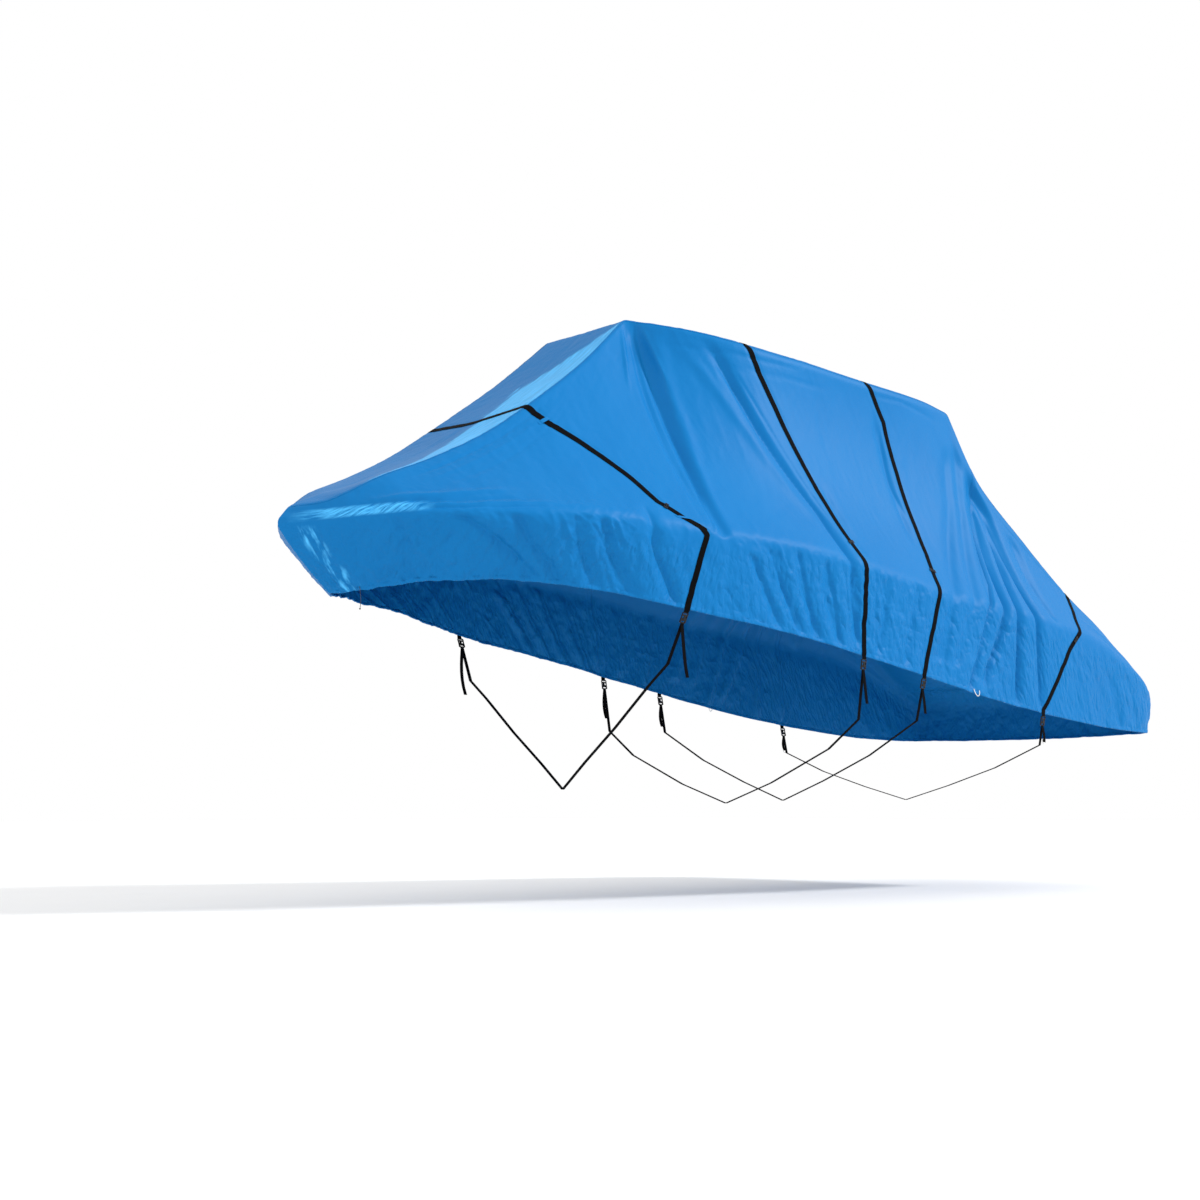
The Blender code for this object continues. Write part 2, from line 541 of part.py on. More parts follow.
def tube(name, points, radius, finish, resolution=2, closed=False):
    """A cord: a curve with a round section and closed ends."""
    curve_data = bpy.data.curves.new(name, "CURVE")
    curve_data.dimensions = "3D"
    spline_data = curve_data.splines.new("POLY")
    spline_data.points.add(len(points) - 1)
    for target, point in zip(spline_data.points, points):
        target.co = (*point, 1.0)
    spline_data.use_cyclic_u = closed
    curve_data.bevel_depth = radius
    curve_data.bevel_resolution = resolution
    curve_data.use_fill_caps = True
    obj = bpy.data.objects.new(name, curve_data)
    obj.data.materials.append(material(finish))
    bpy.context.scene.collection.objects.link(obj)
    return obj


def smooth_path(points, count):
    """A Catmull-Rom curve through the points."""
    points = np.array(points, float)
    ends = np.concatenate([[2 * points[0] - points[1]], points, [2 * points[-1] - points[-2]]])
    made = []
    for place in np.linspace(0, len(points) - 1, count):
        k = min(int(place), len(points) - 2)
        t = place - k
        p0, p1, p2, p3 = ends[k : k + 4]
        linear = 2 * p1 + (p2 - p0) * t
        square = (2 * p0 - 5 * p1 + 4 * p2 - p3) * t**2
        cube = (3 * p1 - p0 - 3 * p2 + p3) * t**3
        made.append((linear + square + cube) / 2)
    return np.array(made)


class Sheet:
    """The built cover's outer face, and places on it for what lies on it."""

    def __init__(self):
        self.points, self.faces, self.number, self.strap_columns = cover_sheet()
        self.normals = facet_normals(self.points, self.faces)

    def band(self, column, row, side, half):
        """Two points of a row and a normal. `half` is their share of the column's width from its middle."""
        fore_vertex = self.number[side][column, row]
        aft_vertex = self.number[side][column + 1, row]
        fore, aft = self.points[fore_vertex], self.points[aft_vertex]
        outward = unit(self.normals[fore_vertex] + self.normals[aft_vertex])
        return fore + (aft - fore) * (0.5 - half), fore + (aft - fore) * (0.5 + half), outward

    def frame(self, column, across, side):
        """The middle of a column at `across`, with axes down the cloth, aft along it, and out of it."""
        row = min(int(np.searchsorted(ROWS, across, side="right")) - 1, len(ROWS) - 2)
        share = (across - ROWS[row]) / (ROWS[row + 1] - ROWS[row])
        number = self.number[side]
        fore_up, aft_up = self.points[number[column : column + 2, row]]
        fore_low, aft_low = self.points[number[column : column + 2, row + 1]]
        if share < 0.5:
            centre = (fore_up + aft_up) / 2 + (aft_low - aft_up) * share
            outward = np.cross(aft_low - aft_up, aft_up - fore_up)
        else:
            centre = (fore_low + aft_low) / 2 + (fore_up - fore_low) * (1 - share)
            outward = np.cross(fore_low - fore_up, aft_low - fore_low)
        outward = unit(outward) * (1 if side == PORT else -1)
        down = fore_low + aft_low - fore_up - aft_up
        down = unit(down - outward * (down @ outward))
        rearward = np.cross(outward, down) * (1 if side == PORT else -1)
        return centre, down, rearward, outward


def add_cover(sheet):
    rim = list(sheet.number[PORT][:, -1]) + list(sheet.number[STARBOARD][-2:0:-1, -1])
    points, quads = cloth_body(sheet.points, sheet.faces, rim, sheet.normals)
    add_mesh("cover", points, triangles(quads), "cover_cloth")


def strap_bands(sheet, name):
    """The strap's edges on the cover from hem to hem, as {(side, row): (fore, aft, outward, along)}."""
    column = sheet.strap_columns[name]
    last = len(ROWS) - 1
    places = [(PORT, row) for row in range(last, -1, -1)] + [(STARBOARD, row) for row in range(1, last + 1)]
    whole = [sheet.band(column, row, side, 0.5) for side, row in places]
    along = unit(np.gradient(np.array([(fore + aft) / 2 for fore, aft, _ in whole]), axis=0))
    bands = {}
    for (side, row), (fore, aft, _), tangent in zip(places, whole, along):
        across = (aft - fore) - tangent * ((aft - fore) @ tangent)
        share = min(WIDEST_SHARE, OVER_WIDTH / 2 / np.linalg.norm(across))
        bands[side, row] = (*sheet.band(column, row, side, share), tangent)
    return bands


def axes_along(along, outward):
    """Three unit axes: along, across and outward, with outward made square to along."""
    along = unit(along)
    outward = unit(outward - along * (outward @ along))
    return along, np.cross(outward, along), outward


def over_strap(bands, name, belly_tops):
    """The strap from hem to hem over the cover. Returns each side's buckle axes and the middle of its end."""
    fore, aft, outward, _ = (np.array(values) for values in zip(*bands.values()))
    outward = unit(outward)
    fore, aft = fore + outward * CLEARANCE, aft + outward * CLEARANCE
    ends = {}
    for side, index in ((PORT, 0), (STARBOARD, -1)):
        hem = (fore[index] + aft[index]) / 2
        level = outward[index] * np.array([0.0, 1.0, 1.0])
        along, across, square = axes_along(belly_tops[side] - hem, level)
        across = across * np.sign(across @ (aft[index] - fore[index]))
        middle = hem + along * STRAP_OVERHANG
        ends[side] = (middle + square * WEBBING / 2, along, across, square)
        where = 0 if side == PORT else len(fore)
        fore = np.insert(fore, where, middle - across * OVER_WIDTH / 2, axis=0)
        aft = np.insert(aft, where, middle + across * OVER_WIDTH / 2, axis=0)
        outward = np.insert(outward, where, square, axis=0)
    ribbon("over_" + name, fore, aft, outward, WEBBING, "webbing", turned=len(ROWS))
    return ends


def belly_path(belly_x, belly, side_ends):
    """The middle line of a belly strap from the port buckle to the starboard one, in the part's frame."""
    port = [np.array([belly_x, -y, z]) - ORIGIN for y, z in belly]
    starboard = [np.array([belly_x, y, z]) - ORIGIN for y, z in belly[-2::-1]]
    return [side_ends[PORT], *port, *starboard, side_ends[STARBOARD]]


def belly_strap(name, path):
    """A band under the hull: its width lies along X and its thickness outward from the hull."""
    path = np.array(path)
    runs = unit(np.diff(path, axis=0))
    square = np.cross(runs, [1.0, 0.0, 0.0])
    square = unit(square) * np.sign(square[len(square) // 2 - 1, 2]) * -1
    outward = unit(np.concatenate([square[:1], square[:-1] + square[1:], square[-1:]]))
    tangent = unit(np.concatenate([runs[:1], runs[:-1] + runs[1:], runs[-1:]]))
    half = unit(np.array([1.0, 0.0, 0.0]) - tangent * tangent[:, :1]) * BELLY_WIDTH / 2
    ribbon("belly_" + name, path - half, path + half, outward, WEBBING, "webbing")


def add_strap(sheet, row):
    name, _, _, keeper, loops, belly_x, belly, tail, ring = row
    bands = strap_bands(sheet, name)
    tops = {side: np.array([belly_x, side * belly[0][0], belly[0][1]]) - ORIGIN for side in (PORT, STARBOARD)}
    ends = over_strap(bands, name, tops)
    below = {}
    for side in (PORT, STARBOARD):
        end, along, across, outward = ends[side]
        label = side_name(side)
        centre = end + along * (BUCKLE[0] / 2 + PIECE_GAP)
        axes = (along, across, outward)
        block(f"buckle_{name}_{label}", centre, axes, BUCKLE, BUCKLE_BEVEL, "buckle_plastic")
        below[side] = end + along * (BUCKLE[0] + 2 * PIECE_GAP)
        tail_top = below[side] + outward * TAIL_OFFSET
        add_tail(f"{name}_{label}", tail_top, axes, tail, side, ring)
        upper_row = ROWS.index(keeper)
        add_keeper(f"keeper_{name}_{label}", bands[side, upper_row], bands[side, upper_row + 1])
        for number, across_loop in enumerate(loops, 1):
            add_belt_loop(f"belt_loop_{number}_{label}", bands[side, ROWS.index(across_loop)])
    belly_strap(name, belly_path(belly_x, belly, below))


def add_tail(label, top, axes, length, side, ring):
    """The strap's loose end: it leaves the buckle straight, then hangs with a slight curl aft."""
    along, across, outward = axes
    steps = np.linspace(0, 1, TAIL_STEPS + 1)[1:]
    start = top + along * TAIL_LEAD
    sway = side * TAIL_SWAY * np.sin(TAIL_SWAY_TURN * steps)
    curl = length * TAIL_CURL_SHARE
    line = [top, start, *(start + np.stack([curl * steps**3, sway, -length * steps], axis=-1))]
    normals = [outward, outward] + [np.array([0.0, side, 0.0])] * TAIL_STEPS
    if ring:
        add_tail_ring(label, line, normals, side)
    half = np.tile([BELLY_WIDTH / 2, 0.0, 0.0], (len(line), 1))
    half[:2] = across * BELLY_WIDTH / 2
    ribbon("tail_" + label, np.array(line) - half, np.array(line) + half, normals, WEBBING, "webbing")


def add_tail_ring(label, line, normals, side):
    """A D-ring in the tail's end, and the tail's last stretch: round the ring's bar and back up inside."""
    inward = np.array([0.0, -side, 0.0])
    turn_radius = RING_WIRE + RING_GAP
    wire = line[-1] + inward * turn_radius
    for angle in np.linspace(0, math.pi, RING_TURN_STEPS + 1)[1:]:
        normal = -inward * math.cos(angle) + np.array([0.0, 0.0, -math.sin(angle)])
        line.append(wire + normal * turn_radius)
        normals.append(normal)
    line.append(line[-1] + np.array([0.0, 0.0, RING_RETURN]))
    normals.append(inward)
    angles = np.linspace(0, math.pi, RING_ARC_STEPS + 1)
    arc = [(RING_HALF_WIDTH * math.cos(a), -RING_CORNER - RING_DROP * math.sin(a)) for a in angles]
    bar = RING_HALF_WIDTH - RING_CORNER
    outline = [(-bar, 0.0), (bar, 0.0), *arc]
    points = [wire + np.array([x, 0.0, z]) for x, z in outline]
    tube("ring_" + label, points, RING_WIRE, "ring_metal", closed=True)


def add_keeper(name, upper, lower):
    """A slide bar across the strap, on its stretch between two rows."""
    lift = CLEARANCE + WEBBING
    edges = np.array([place + band[2] * lift for band in (upper, lower) for place in band[:2]])
    middle = edges.mean(axis=0)
    along = edges[2] + edges[3] - edges[0] - edges[1]
    rearward = edges[1] + edges[3] - edges[0] - edges[2]
    outward = np.cross(along, rearward)
    axes = axes_along(along, outward * np.sign(outward @ upper[2]))
    centre = middle + axes[2] * (KEEPER_LIFT + KEEPER[2] / 2)
    block(name, centre, axes, KEEPER, KEEPER_BEVEL, "buckle_plastic")


def add_belt_loop(name, band):
    """A cloth loop over the strap, its two feet flat on the cover."""
    fore, aft, outward, along = band
    row = unit(aft - fore)
    top = CLEARANCE + WEBBING + LOOP_LIFT
    steps = ((LOOP_FOOT, LOOP_SEAT), (LOOP_LEG, LOOP_SEAT), (LOOP_INNER, top))
    line = [fore - row * reach + outward * lift for reach, lift in steps]
    line += [aft + row * reach + outward * lift for reach, lift in steps[::-1]]
    half = along * LOOP_LENGTH / 2
    normals = np.tile(outward, (len(line), 1))
    ribbon(name, np.array(line) - half, np.array(line) + half, normals, LOOP_CLOTH, "cover_cloth")


def add_hem_cord(sheet, side):
    """A white cord loop below the long aft fold, its two ends sewn to the skirt's outer face."""
    hem = sheet.points[sheet.number[side][:-1, -1], 0] + ORIGIN[0]
    column_number = int(np.argmin(np.abs(hem - HEM_CORD_X)))
    centre, down, rearward, outward = sheet.frame(column_number, HEM_CORD_ACROSS, side)
    lift = outward * (CORD_RADIUS + CLEARANCE)
    points = [centre + rearward * aft + down * low + lift for aft, low in HEM_CORD_ROUTE]
    tube(f"hem_cord_{side_name(side)}", smooth_path(points, CORD_POINTS), CORD_RADIUS, "white_cord")


def add_bow_cord(sheet):
    """The drawcord's end, hanging from the bow hem, with its knot."""
    centre, down, _, outward = sheet.frame(BOW_CORD_COLUMN, BOW_CORD_ACROSS, PORT)
    seat = centre - down * BOW_CORD_SEAT + outward * (BOW_CORD_RADIUS + PIECE_GAP)
    edge = centre + outward * (BOW_CORD_RADIUS + BOW_CORD_RISE)
    points = smooth_path([seat, *(edge + np.array(step) for step in BOW_CORD_ROUTE)], CORD_POINTS)
    tube("bow_cord", points, BOW_CORD_RADIUS, "black_cord")
    run = unit(points[-1] - points[-2])
    add_knot("bow_cord_knot", points[-1] + run * (BOW_KNOT_RADIUS + PIECE_GAP))


def add_knot(name, centre):
    made = bmesh.new()
    bmesh.ops.create_icosphere(made, subdivisions=2, radius=BOW_KNOT_RADIUS)
    made.verts.index_update()
    points = [np.array(vert.co) + centre for vert in made.verts]
    faces = [[vert.index for vert in face.verts] for face in made.faces]
    made.free()
    add_mesh(name, points, faces, "black_cord")


def main():
    for obj in list(bpy.data.objects):
        bpy.data.objects.remove(obj)
    sheet = Sheet()
    add_cover(sheet)
    for row in STRAPS:
        add_strap(sheet, row)
    for side in (PORT, STARBOARD):
        add_hem_cord(sheet, side)
    add_bow_cord(sheet)


if __name__ == "__main__":
    main()
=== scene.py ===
"""The looks of the t-top boat cover: sewn cloth panels, webbing, buckles, cords, light and camera.

Metres, +X aft, +Y starboard, +Z up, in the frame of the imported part. The cloth repeats the part's own surface
at a finer pitch and adds the creases, the sewn hem and the seams. Its surface has two coordinates: a section
number, 0 at the stem and rising aft, and `across`, which runs 0 on the centreline, 1 on the ridge or roof
edge, 2 on the gunwale and 3 on the hem.
"""

import math

import bmesh
import bpy
import numpy as np
from mathutils import Matrix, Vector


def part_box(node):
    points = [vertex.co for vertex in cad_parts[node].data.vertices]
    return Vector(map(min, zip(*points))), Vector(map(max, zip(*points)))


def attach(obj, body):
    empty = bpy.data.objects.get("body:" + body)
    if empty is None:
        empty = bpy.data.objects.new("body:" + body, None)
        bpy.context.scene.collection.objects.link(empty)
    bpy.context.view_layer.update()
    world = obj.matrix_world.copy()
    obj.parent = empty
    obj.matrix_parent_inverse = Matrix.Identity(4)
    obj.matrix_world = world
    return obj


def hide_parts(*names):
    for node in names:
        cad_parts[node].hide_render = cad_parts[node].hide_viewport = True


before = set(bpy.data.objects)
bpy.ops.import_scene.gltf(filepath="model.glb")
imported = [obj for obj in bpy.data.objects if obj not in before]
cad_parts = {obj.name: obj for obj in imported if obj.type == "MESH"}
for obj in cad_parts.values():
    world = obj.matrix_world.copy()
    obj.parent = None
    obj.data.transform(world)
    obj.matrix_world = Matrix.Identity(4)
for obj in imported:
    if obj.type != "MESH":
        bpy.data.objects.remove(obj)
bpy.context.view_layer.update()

# The part's origin, in the coordinates of the sections.
ORIGIN = np.array([-0.65, 0.0, 3.465])
# What a length counts as at least where something is divided by it.
LEAST_RUN, LEAST_LENGTH = 1e-9, 1e-12
PORT, STARBOARD = -1, 1
SIDES = ((PORT, "port"), (STARBOARD, "starboard"))

# The cover's relief, as in the part. A row of RIPPLES is rate, share, phase and how much sides differ in it.
FOLD_START, FOLD_FADE_TOP, FOLD_FADE_FOOT = 0.3, 0.12, 0.15
CENTRE_BLEND = 0.05
RIPPLE_HEIGHT, RIPPLE_TOP, RIPPLE_SPAN, RIPPLE_TURN = 0.0045, 2.05, 0.9, 0.6
RIPPLES = ((9.1, 1.0, 0.0, 1.3), (15.7, 0.7, 0.8, 1.0))

# Sections of the draped cover from stem to stern. Each row is one section of one side:
# the centreline point (sx, sz), the ridge or roof edge (rx, ry, rz), the gunwale (kx, ky, kz), the hem
# (hx, hy, hz), how far the slope hangs in below a straight line, how far the skirt stands out from one, and
# the rounding of ridge and gunwale.
SECTION_COLUMNS = (
    "name", "sx", "sz", "rx", "ry", "rz", "kx", "ky", "kz", "hx", "hy", "hz", "sag", "bulge", "rr", "kr",
)
SECTIONS = (
    ("stem", -4.12, 2.215, -4.175, 0.0, 2.185, -4.252, 0.0, 2.09, -3.905, 0.0, 1.74, 0.0, 0.022, 0.03, 0.05),
    ("nose", -4.05, 2.245, -4.07, 0.175, 2.205, -4.12, 0.2, 2.09, -3.825, 0.12, 1.745, 0.0, 0.02, 0.03, 0.05),
    ("bow_rail", -3.96, 2.285, -3.97, 0.275, 2.262, -3.985, 0.4, 2.1, -3.715, 0.26, 1.765, 0.0, 0.014, 0.03,
     0.05),
    ("fore_1", -3.82, 2.335, -3.83, 0.345, 2.348, -3.82, 0.6, 2.12, -3.585, 0.44, 1.79, 0.0, 0.008, 0.03,
     0.06),
    ("fore_2", -3.55, 2.465, -3.55, 0.405, 2.475, -3.52, 0.83, 2.14, -3.32, 0.64, 1.805, 0.01, 0.006, 0.03,
     0.08),
    ("fore_3", -3.2, 2.65, -3.2, 0.445, 2.66, -3.12, 1.0, 2.165, -2.96, 0.81, 1.795, 0.02, 0.004, 0.03, 0.09),
    ("fore_4", -2.9, 2.855, -2.9, 0.455, 2.865, -2.78, 1.08, 2.17, -2.65, 0.91, 1.767, 0.03, 0.0, 0.03, 0.09),
    ("fore_5", -2.45, 3.183, -2.45, 0.42, 3.193, -2.4, 1.13, 2.165, -2.33, 1.01, 1.721, 0.05, 0.0, 0.03,
     0.08),
    ("roof_fore", -2.03, 3.557, -2.02, 0.36, 3.568, -2.02, 1.17, 2.15, -1.98, 1.08, 1.673, 0.08, 0.0, 0.02,
     0.06),
    ("roof_1", -1.72, 3.54, -1.72, 0.62, 3.516, -1.68, 1.2, 2.135, -1.65, 1.125, 1.637, 0.1, 0.0, 0.05, 0.05),
    ("roof_2", -1.35, 3.508, -1.35, 0.8, 3.455, -1.3, 1.22, 2.12, -1.27, 1.155, 1.59, 0.11, 0.0, 0.07, 0.05),
    ("roof_3", -0.8, 3.475, -0.8, 0.85, 3.42, -0.78, 1.235, 2.075, -0.77, 1.18, 1.512, 0.12, 0.0, 0.07, 0.05),
    ("roof_4", -0.1, 3.44, -0.1, 0.85, 3.39, -0.08, 1.24, 1.975, -0.08, 1.2, 1.402, 0.12, 0.0, 0.07, 0.05),
    ("roof_5", 0.35, 3.423, 0.35, 0.83, 3.381, 0.4, 1.24, 1.935, 0.4, 1.2, 1.325, 0.1, 0.0, 0.07, 0.05),
    ("roof_aft", 0.7, 3.39, 0.71, 0.79, 3.347, 0.8, 1.235, 1.905, 0.8, 1.2, 1.272, 0.08, 0.0, 0.05, 0.05),
    ("aft_1", 0.92, 2.9, 0.93, 0.86, 2.905, 1.1, 1.23, 1.88, 1.1, 1.2, 1.237, 0.05, 0.0, 0.05, 0.05),
    ("aft_2", 1.35, 2.47, 1.36, 0.965, 2.468, 1.45, 1.22, 1.85, 1.45, 1.19, 1.203, 0.03, 0.0, 0.05, 0.05),
    ("aft_3", 1.75, 2.128, 1.76, 1.04, 2.126, 1.85, 1.205, 1.79, 1.85, 1.18, 1.17, 0.01, 0.0, 0.05, 0.05),
    ("aft_4", 2.14, 1.873, 2.15, 1.085, 1.876, 2.2, 1.19, 1.68, 2.2, 1.165, 1.151, 0.0, 0.0, 0.05, 0.05),
    ("quarter", 2.5, 1.638, 2.5, 1.09, 1.648, 2.565, 1.165, 1.54, 2.565, 1.135, 1.142, 0.0, 0.01, 0.05, 0.05),
    ("corner", 2.62, 1.577, 2.66, 1.02, 1.557, 2.775, 1.08, 1.45, 2.76, 1.07, 1.142, 0.0, 0.022, 0.05, 0.05),
    ("transom", 2.66, 1.565, 2.7, 0.6, 1.545, 2.85, 0.65, 1.43, 2.81, 0.65, 1.132, 0.0, 0.02, 0.05, 0.05),
    ("stern", 2.68, 1.56, 2.72, 0.0, 1.54, 2.87, 0.0, 1.43, 2.83, 0.0, 1.127, 0.0, 0.018, 0.05, 0.05),
)
CORNER_SECTIONS = ("roof_fore", "roof_aft")
# The largest share of a leg that a rounded corner takes: of the top, and of the slope and the skirt.
MOST_OF_TOP, MOST_OF_LEG = 0.5, 0.35

# The main folds, as in the part: depth outward on port and starboard, half-width along X, path (across, x).
FOLDS = (
    # Below the roof's front corner.
    (-0.016, -0.012, 0.035, ((1.02, -2.03), (1.5, -2.05), (1.90, -2.07))),
    (-0.028, -0.020, 0.040, ((1.02, -1.97), (1.4, -1.965), (1.75, -1.975), (2.06, -2.00))),
    (0.012, 0.010, 0.040, ((1.05, -1.90), (1.5, -1.88), (1.95, -1.96))),
    # Beside the second and third straps.
    (-0.026, -0.014, 0.045, ((1.05, -1.62), (1.4, -1.35), (1.75, -1.02), (2.0, -0.91), (2.9, -0.82))),
    (0.010, 0.008, 0.050, ((1.1, -1.75), (1.4, -1.48), (1.8, -1.14))),
    (-0.010, -0.012, 0.040, ((1.6, -0.90), (1.95, -0.73))),
    (-0.014, -0.010, 0.035, ((1.15, -0.20), (1.45, -0.12), (1.75, -0.07))),
    # Fanning out below the roof's aft corner.
    (-0.020, -0.024, 0.060, ((1.2, 0.62), (1.5, 0.50), (2.0, 0.13), (2.8, -0.02))),
    (-0.018, -0.012, 0.050, ((1.15, 0.76), (1.5, 0.64), (2.0, 0.36), (2.8, 0.14))),
    (-0.020, -0.018, 0.035, ((1.1, 0.88), (1.65, 0.71), (2.0, 0.54), (2.5, 0.44), (3.0, 0.31))),
    (-0.032, -0.020, 0.045, ((1.15, 0.89), (1.7, 0.78), (2.0, 0.73), (2.3, 0.66), (2.9, 0.47))),
    (-0.030, -0.026, 0.040, ((1.15, 0.92), (1.6, 0.93), (2.0, 0.885), (3.0, 0.87))),
    (-0.028, -0.020, 0.045, ((1.15, 0.96), (1.6, 1.03), (2.0, 1.11), (3.0, 1.17))),
    # The quarter.
    (-0.014, -0.020, 0.050, ((1.2, 1.20), (1.6, 1.26), (2.0, 1.36))),
    # On the skirt, from bow to stern.
    (-0.010, -0.012, 0.040, ((2.05, -3.84), (2.95, -3.64))),
    (-0.022, -0.014, 0.050, ((2.05, -3.60), (2.5, -3.34), (3.0, -3.08))),
    (-0.020, -0.020, 0.045, ((2.05, -3.34), (2.5, -3.18), (3.0, -2.93))),
    (-0.016, -0.020, 0.045, ((2.05, -3.00), (2.5, -2.90), (3.0, -2.74))),
    (-0.016, -0.010, 0.045, ((2.05, -2.86), (2.5, -2.72), (3.0, -2.52))),
    (-0.018, -0.014, 0.045, ((1.9, -2.52), (2.4, -2.46), (3.0, -2.25))),
    (-0.016, -0.020, 0.045, ((2.2, -1.78), (2.65, -1.62), (3.0, -1.48))),
    (-0.018, -0.016, 0.040, ((2.1, -1.62), (2.6, -1.46), (3.0, -1.32))),
    (-0.020, -0.020, 0.045, ((2.05, -1.40), (2.5, -1.32), (3.0, -1.16))),
    (-0.022, -0.018, 0.045, ((2.1, -1.14), (2.5, -1.12), (3.0, -0.97))),
    (-0.014, -0.014, 0.040, ((2.1, -0.60), (2.6, -0.58), (3.0, -0.64))),
    (-0.014, -0.012, 0.040, ((2.0, -0.24), (2.4, -0.30), (3.0, -0.37))),
    (-0.012, -0.014, 0.060, ((2.3, 2.05), (3.0, 2.25))),
)

# The creases the part is too coarse for: depth outward in metres, half-width along X, path (across, x).
CREASES = (
    # Below the roof's front corner.
    (-0.010, 0.014, ((1.03, -1.98), (1.31, -1.98), (1.59, -1.97), (1.79, -1.99), (1.93, -2.04),
     (2.04, -2.10))),
    (-0.006, 0.016, ((1.06, -2.01), (1.5, -2.06), (1.95, -2.12))),
    (0.011, 0.015, ((1.02, -2.06), (1.26, -2.15))),
    (0.009, 0.013, ((1.02, -2.02), (1.24, -2.06))),
    (0.010, 0.014, ((1.02, -1.95), (1.26, -1.90))),
    # Beside the second and third straps.
    (-0.009, 0.016, ((1.14, -1.56), (1.41, -1.35), (1.59, -1.18), (1.76, -1.01), (2.0, -0.91), (2.42, -0.89),
     (2.9, -0.79))),
    (-0.005, 0.015, ((1.14, -1.48), (1.42, -1.23), (1.59, -1.09), (1.81, -0.91))),
    (-0.006, 0.016, ((1.70, -0.89), (1.92, -0.76))),
    (-0.007, 0.016, ((1.21, -0.15), (1.47, -0.12), (1.62, -0.04))),
    # Below the roof's aft corner.
    (-0.010, 0.014, ((1.1, 0.90), (1.26, 0.88), (1.68, 0.71), (1.88, 0.64), (2.04, 0.52), (2.34, 0.46),
     (2.96, 0.32))),
    (-0.013, 0.016, ((1.32, 0.86), (1.73, 0.76), (1.96, 0.74), (2.32, 0.66), (2.75, 0.50))),
    (-0.012, 0.014, ((1.31, 0.88), (1.56, 0.92), (2.04, 0.88), (2.91, 0.87))),
    (-0.012, 0.015, ((1.29, 0.96), (1.66, 1.03), (1.94, 1.11), (2.86, 1.16))),
    (-0.006, 0.018, ((1.24, 1.17), (1.59, 1.25), (1.95, 1.36))),
    # On the skirt, aft of the first strap.
    (-0.006, 0.016, ((2.26, -1.76), (2.98, -1.48))),
    (-0.007, 0.015, ((2.12, -1.63), (2.96, -1.34))),
    (-0.007, 0.016, ((2.06, -1.40), (2.9, -1.20))),
    (-0.008, 0.015, ((2.15, -1.13), (2.94, -0.98))),
    (-0.005, 0.014, ((2.14, -0.99), (2.94, -0.88))),
    (-0.005, 0.015, ((2.6, -1.97), (2.96, -1.78))),
    (-0.006, 0.014, ((2.05, -0.69), (2.89, -0.66))),
    (-0.005, 0.015, ((2.19, -0.56), (2.93, -0.62))),
    (-0.006, 0.016, ((1.98, -0.27), (2.42, -0.31), (2.93, -0.38))),
    (-0.005, 0.016, ((2.15, 0.12), (2.9, 0.02))),
    # On the skirt of the bow.
    (-0.007, 0.016, ((2.1, -3.58), (2.5, -3.33), (2.85, -3.13))),
    (-0.006, 0.015, ((2.11, -3.32), (2.45, -3.20), (2.83, -3.0))),
    (-0.006, 0.014, ((2.12, -3.0), (2.44, -2.92), (2.89, -2.79))),
    (-0.005, 0.015, ((2.1, -2.92), (2.4, -2.78), (2.81, -2.6))),
    (-0.007, 0.016, ((1.88, -2.51), (2.36, -2.47), (2.98, -2.25))),
    (-0.005, 0.018, ((2.12, -3.84), (2.93, -3.64))),
)

# Creases that run fore and aft: depth, half-width down the cloth in metres, path (x, across).
LONG_CREASES = (
    # The bow's slope and gunwale.
    (-0.005, 0.014, ((-3.75, 1.22), (-3.3, 1.12), (-2.7, 1.06))),
    (-0.004, 0.013, ((-3.6, 1.46), (-3.1, 1.30), (-2.6, 1.16))),
    (0.004, 0.015, ((-3.7, 1.34), (-3.2, 1.20), (-2.65, 1.11))),
    (0.012, 0.026, ((-4.02, 1.50), (-3.7, 1.64), (-3.2, 1.70))),
    (-0.006, 0.014, ((-4.05, 1.66), (-3.6, 1.78), (-3.15, 1.84))),
    (0.005, 0.013, ((-4.0, 1.78), (-3.6, 1.86), (-3.05, 1.90))),
    (-0.005, 0.012, ((-3.9, 1.90), (-3.4, 1.94), (-2.95, 1.94))),
    # Beside the ridges.
    (-0.004, 0.010, ((-1.95, 1.10), (-1.5, 1.07), (-0.9, 1.055))),
    (-0.003, 0.010, ((-1.80, 1.16), (-1.3, 1.12), (-0.6, 1.10))),
    (-0.004, 0.011, ((-0.3, 1.06), (0.1, 1.05), (0.6, 1.09))),
    (-0.003, 0.012, ((0.95, 1.12), (1.4, 1.14), (1.9, 1.20))),
    # The roof.
    (0.004, 0.020, ((-1.9, 0.80), (-1.0, 0.86), (0.0, 0.84), (0.6, 0.80))),
    (-0.004, 0.020, ((-1.8, 0.60), (-1.0, 0.70), (-0.2, 0.66), (0.5, 0.55))),
    # The stern's gunwale.
    (-0.005, 0.014, ((1.9, 1.80), (2.3, 1.72), (2.6, 1.76))),
    (0.004, 0.014, ((1.7, 1.62), (2.2, 1.50), (2.55, 1.52))),
)
STARBOARD_SHIFT, STARBOARD_SHARE = 0.05, 0.85
LONG_CREASE_FADE = 0.25

# The slack between the creases, as uneven noise: height, size along X, size down the cloth, how far its grain
# leans aft on the way down, the `across` span that it fills and how soft the span's ends are.
SLACK = (
    (0.0022, 0.30, 0.24, 0.0, -0.5, 1.2, 0.3),
    (0.0016, 0.11, 0.45, 0.35, 1.02, 2.1, 0.15),
    (0.0022, 0.085, 0.40, 0.25, 1.95, 3.2, 0.3),
    (0.0009, 0.040, 0.11, 0.30, 1.0, 3.2, 0.2),
)
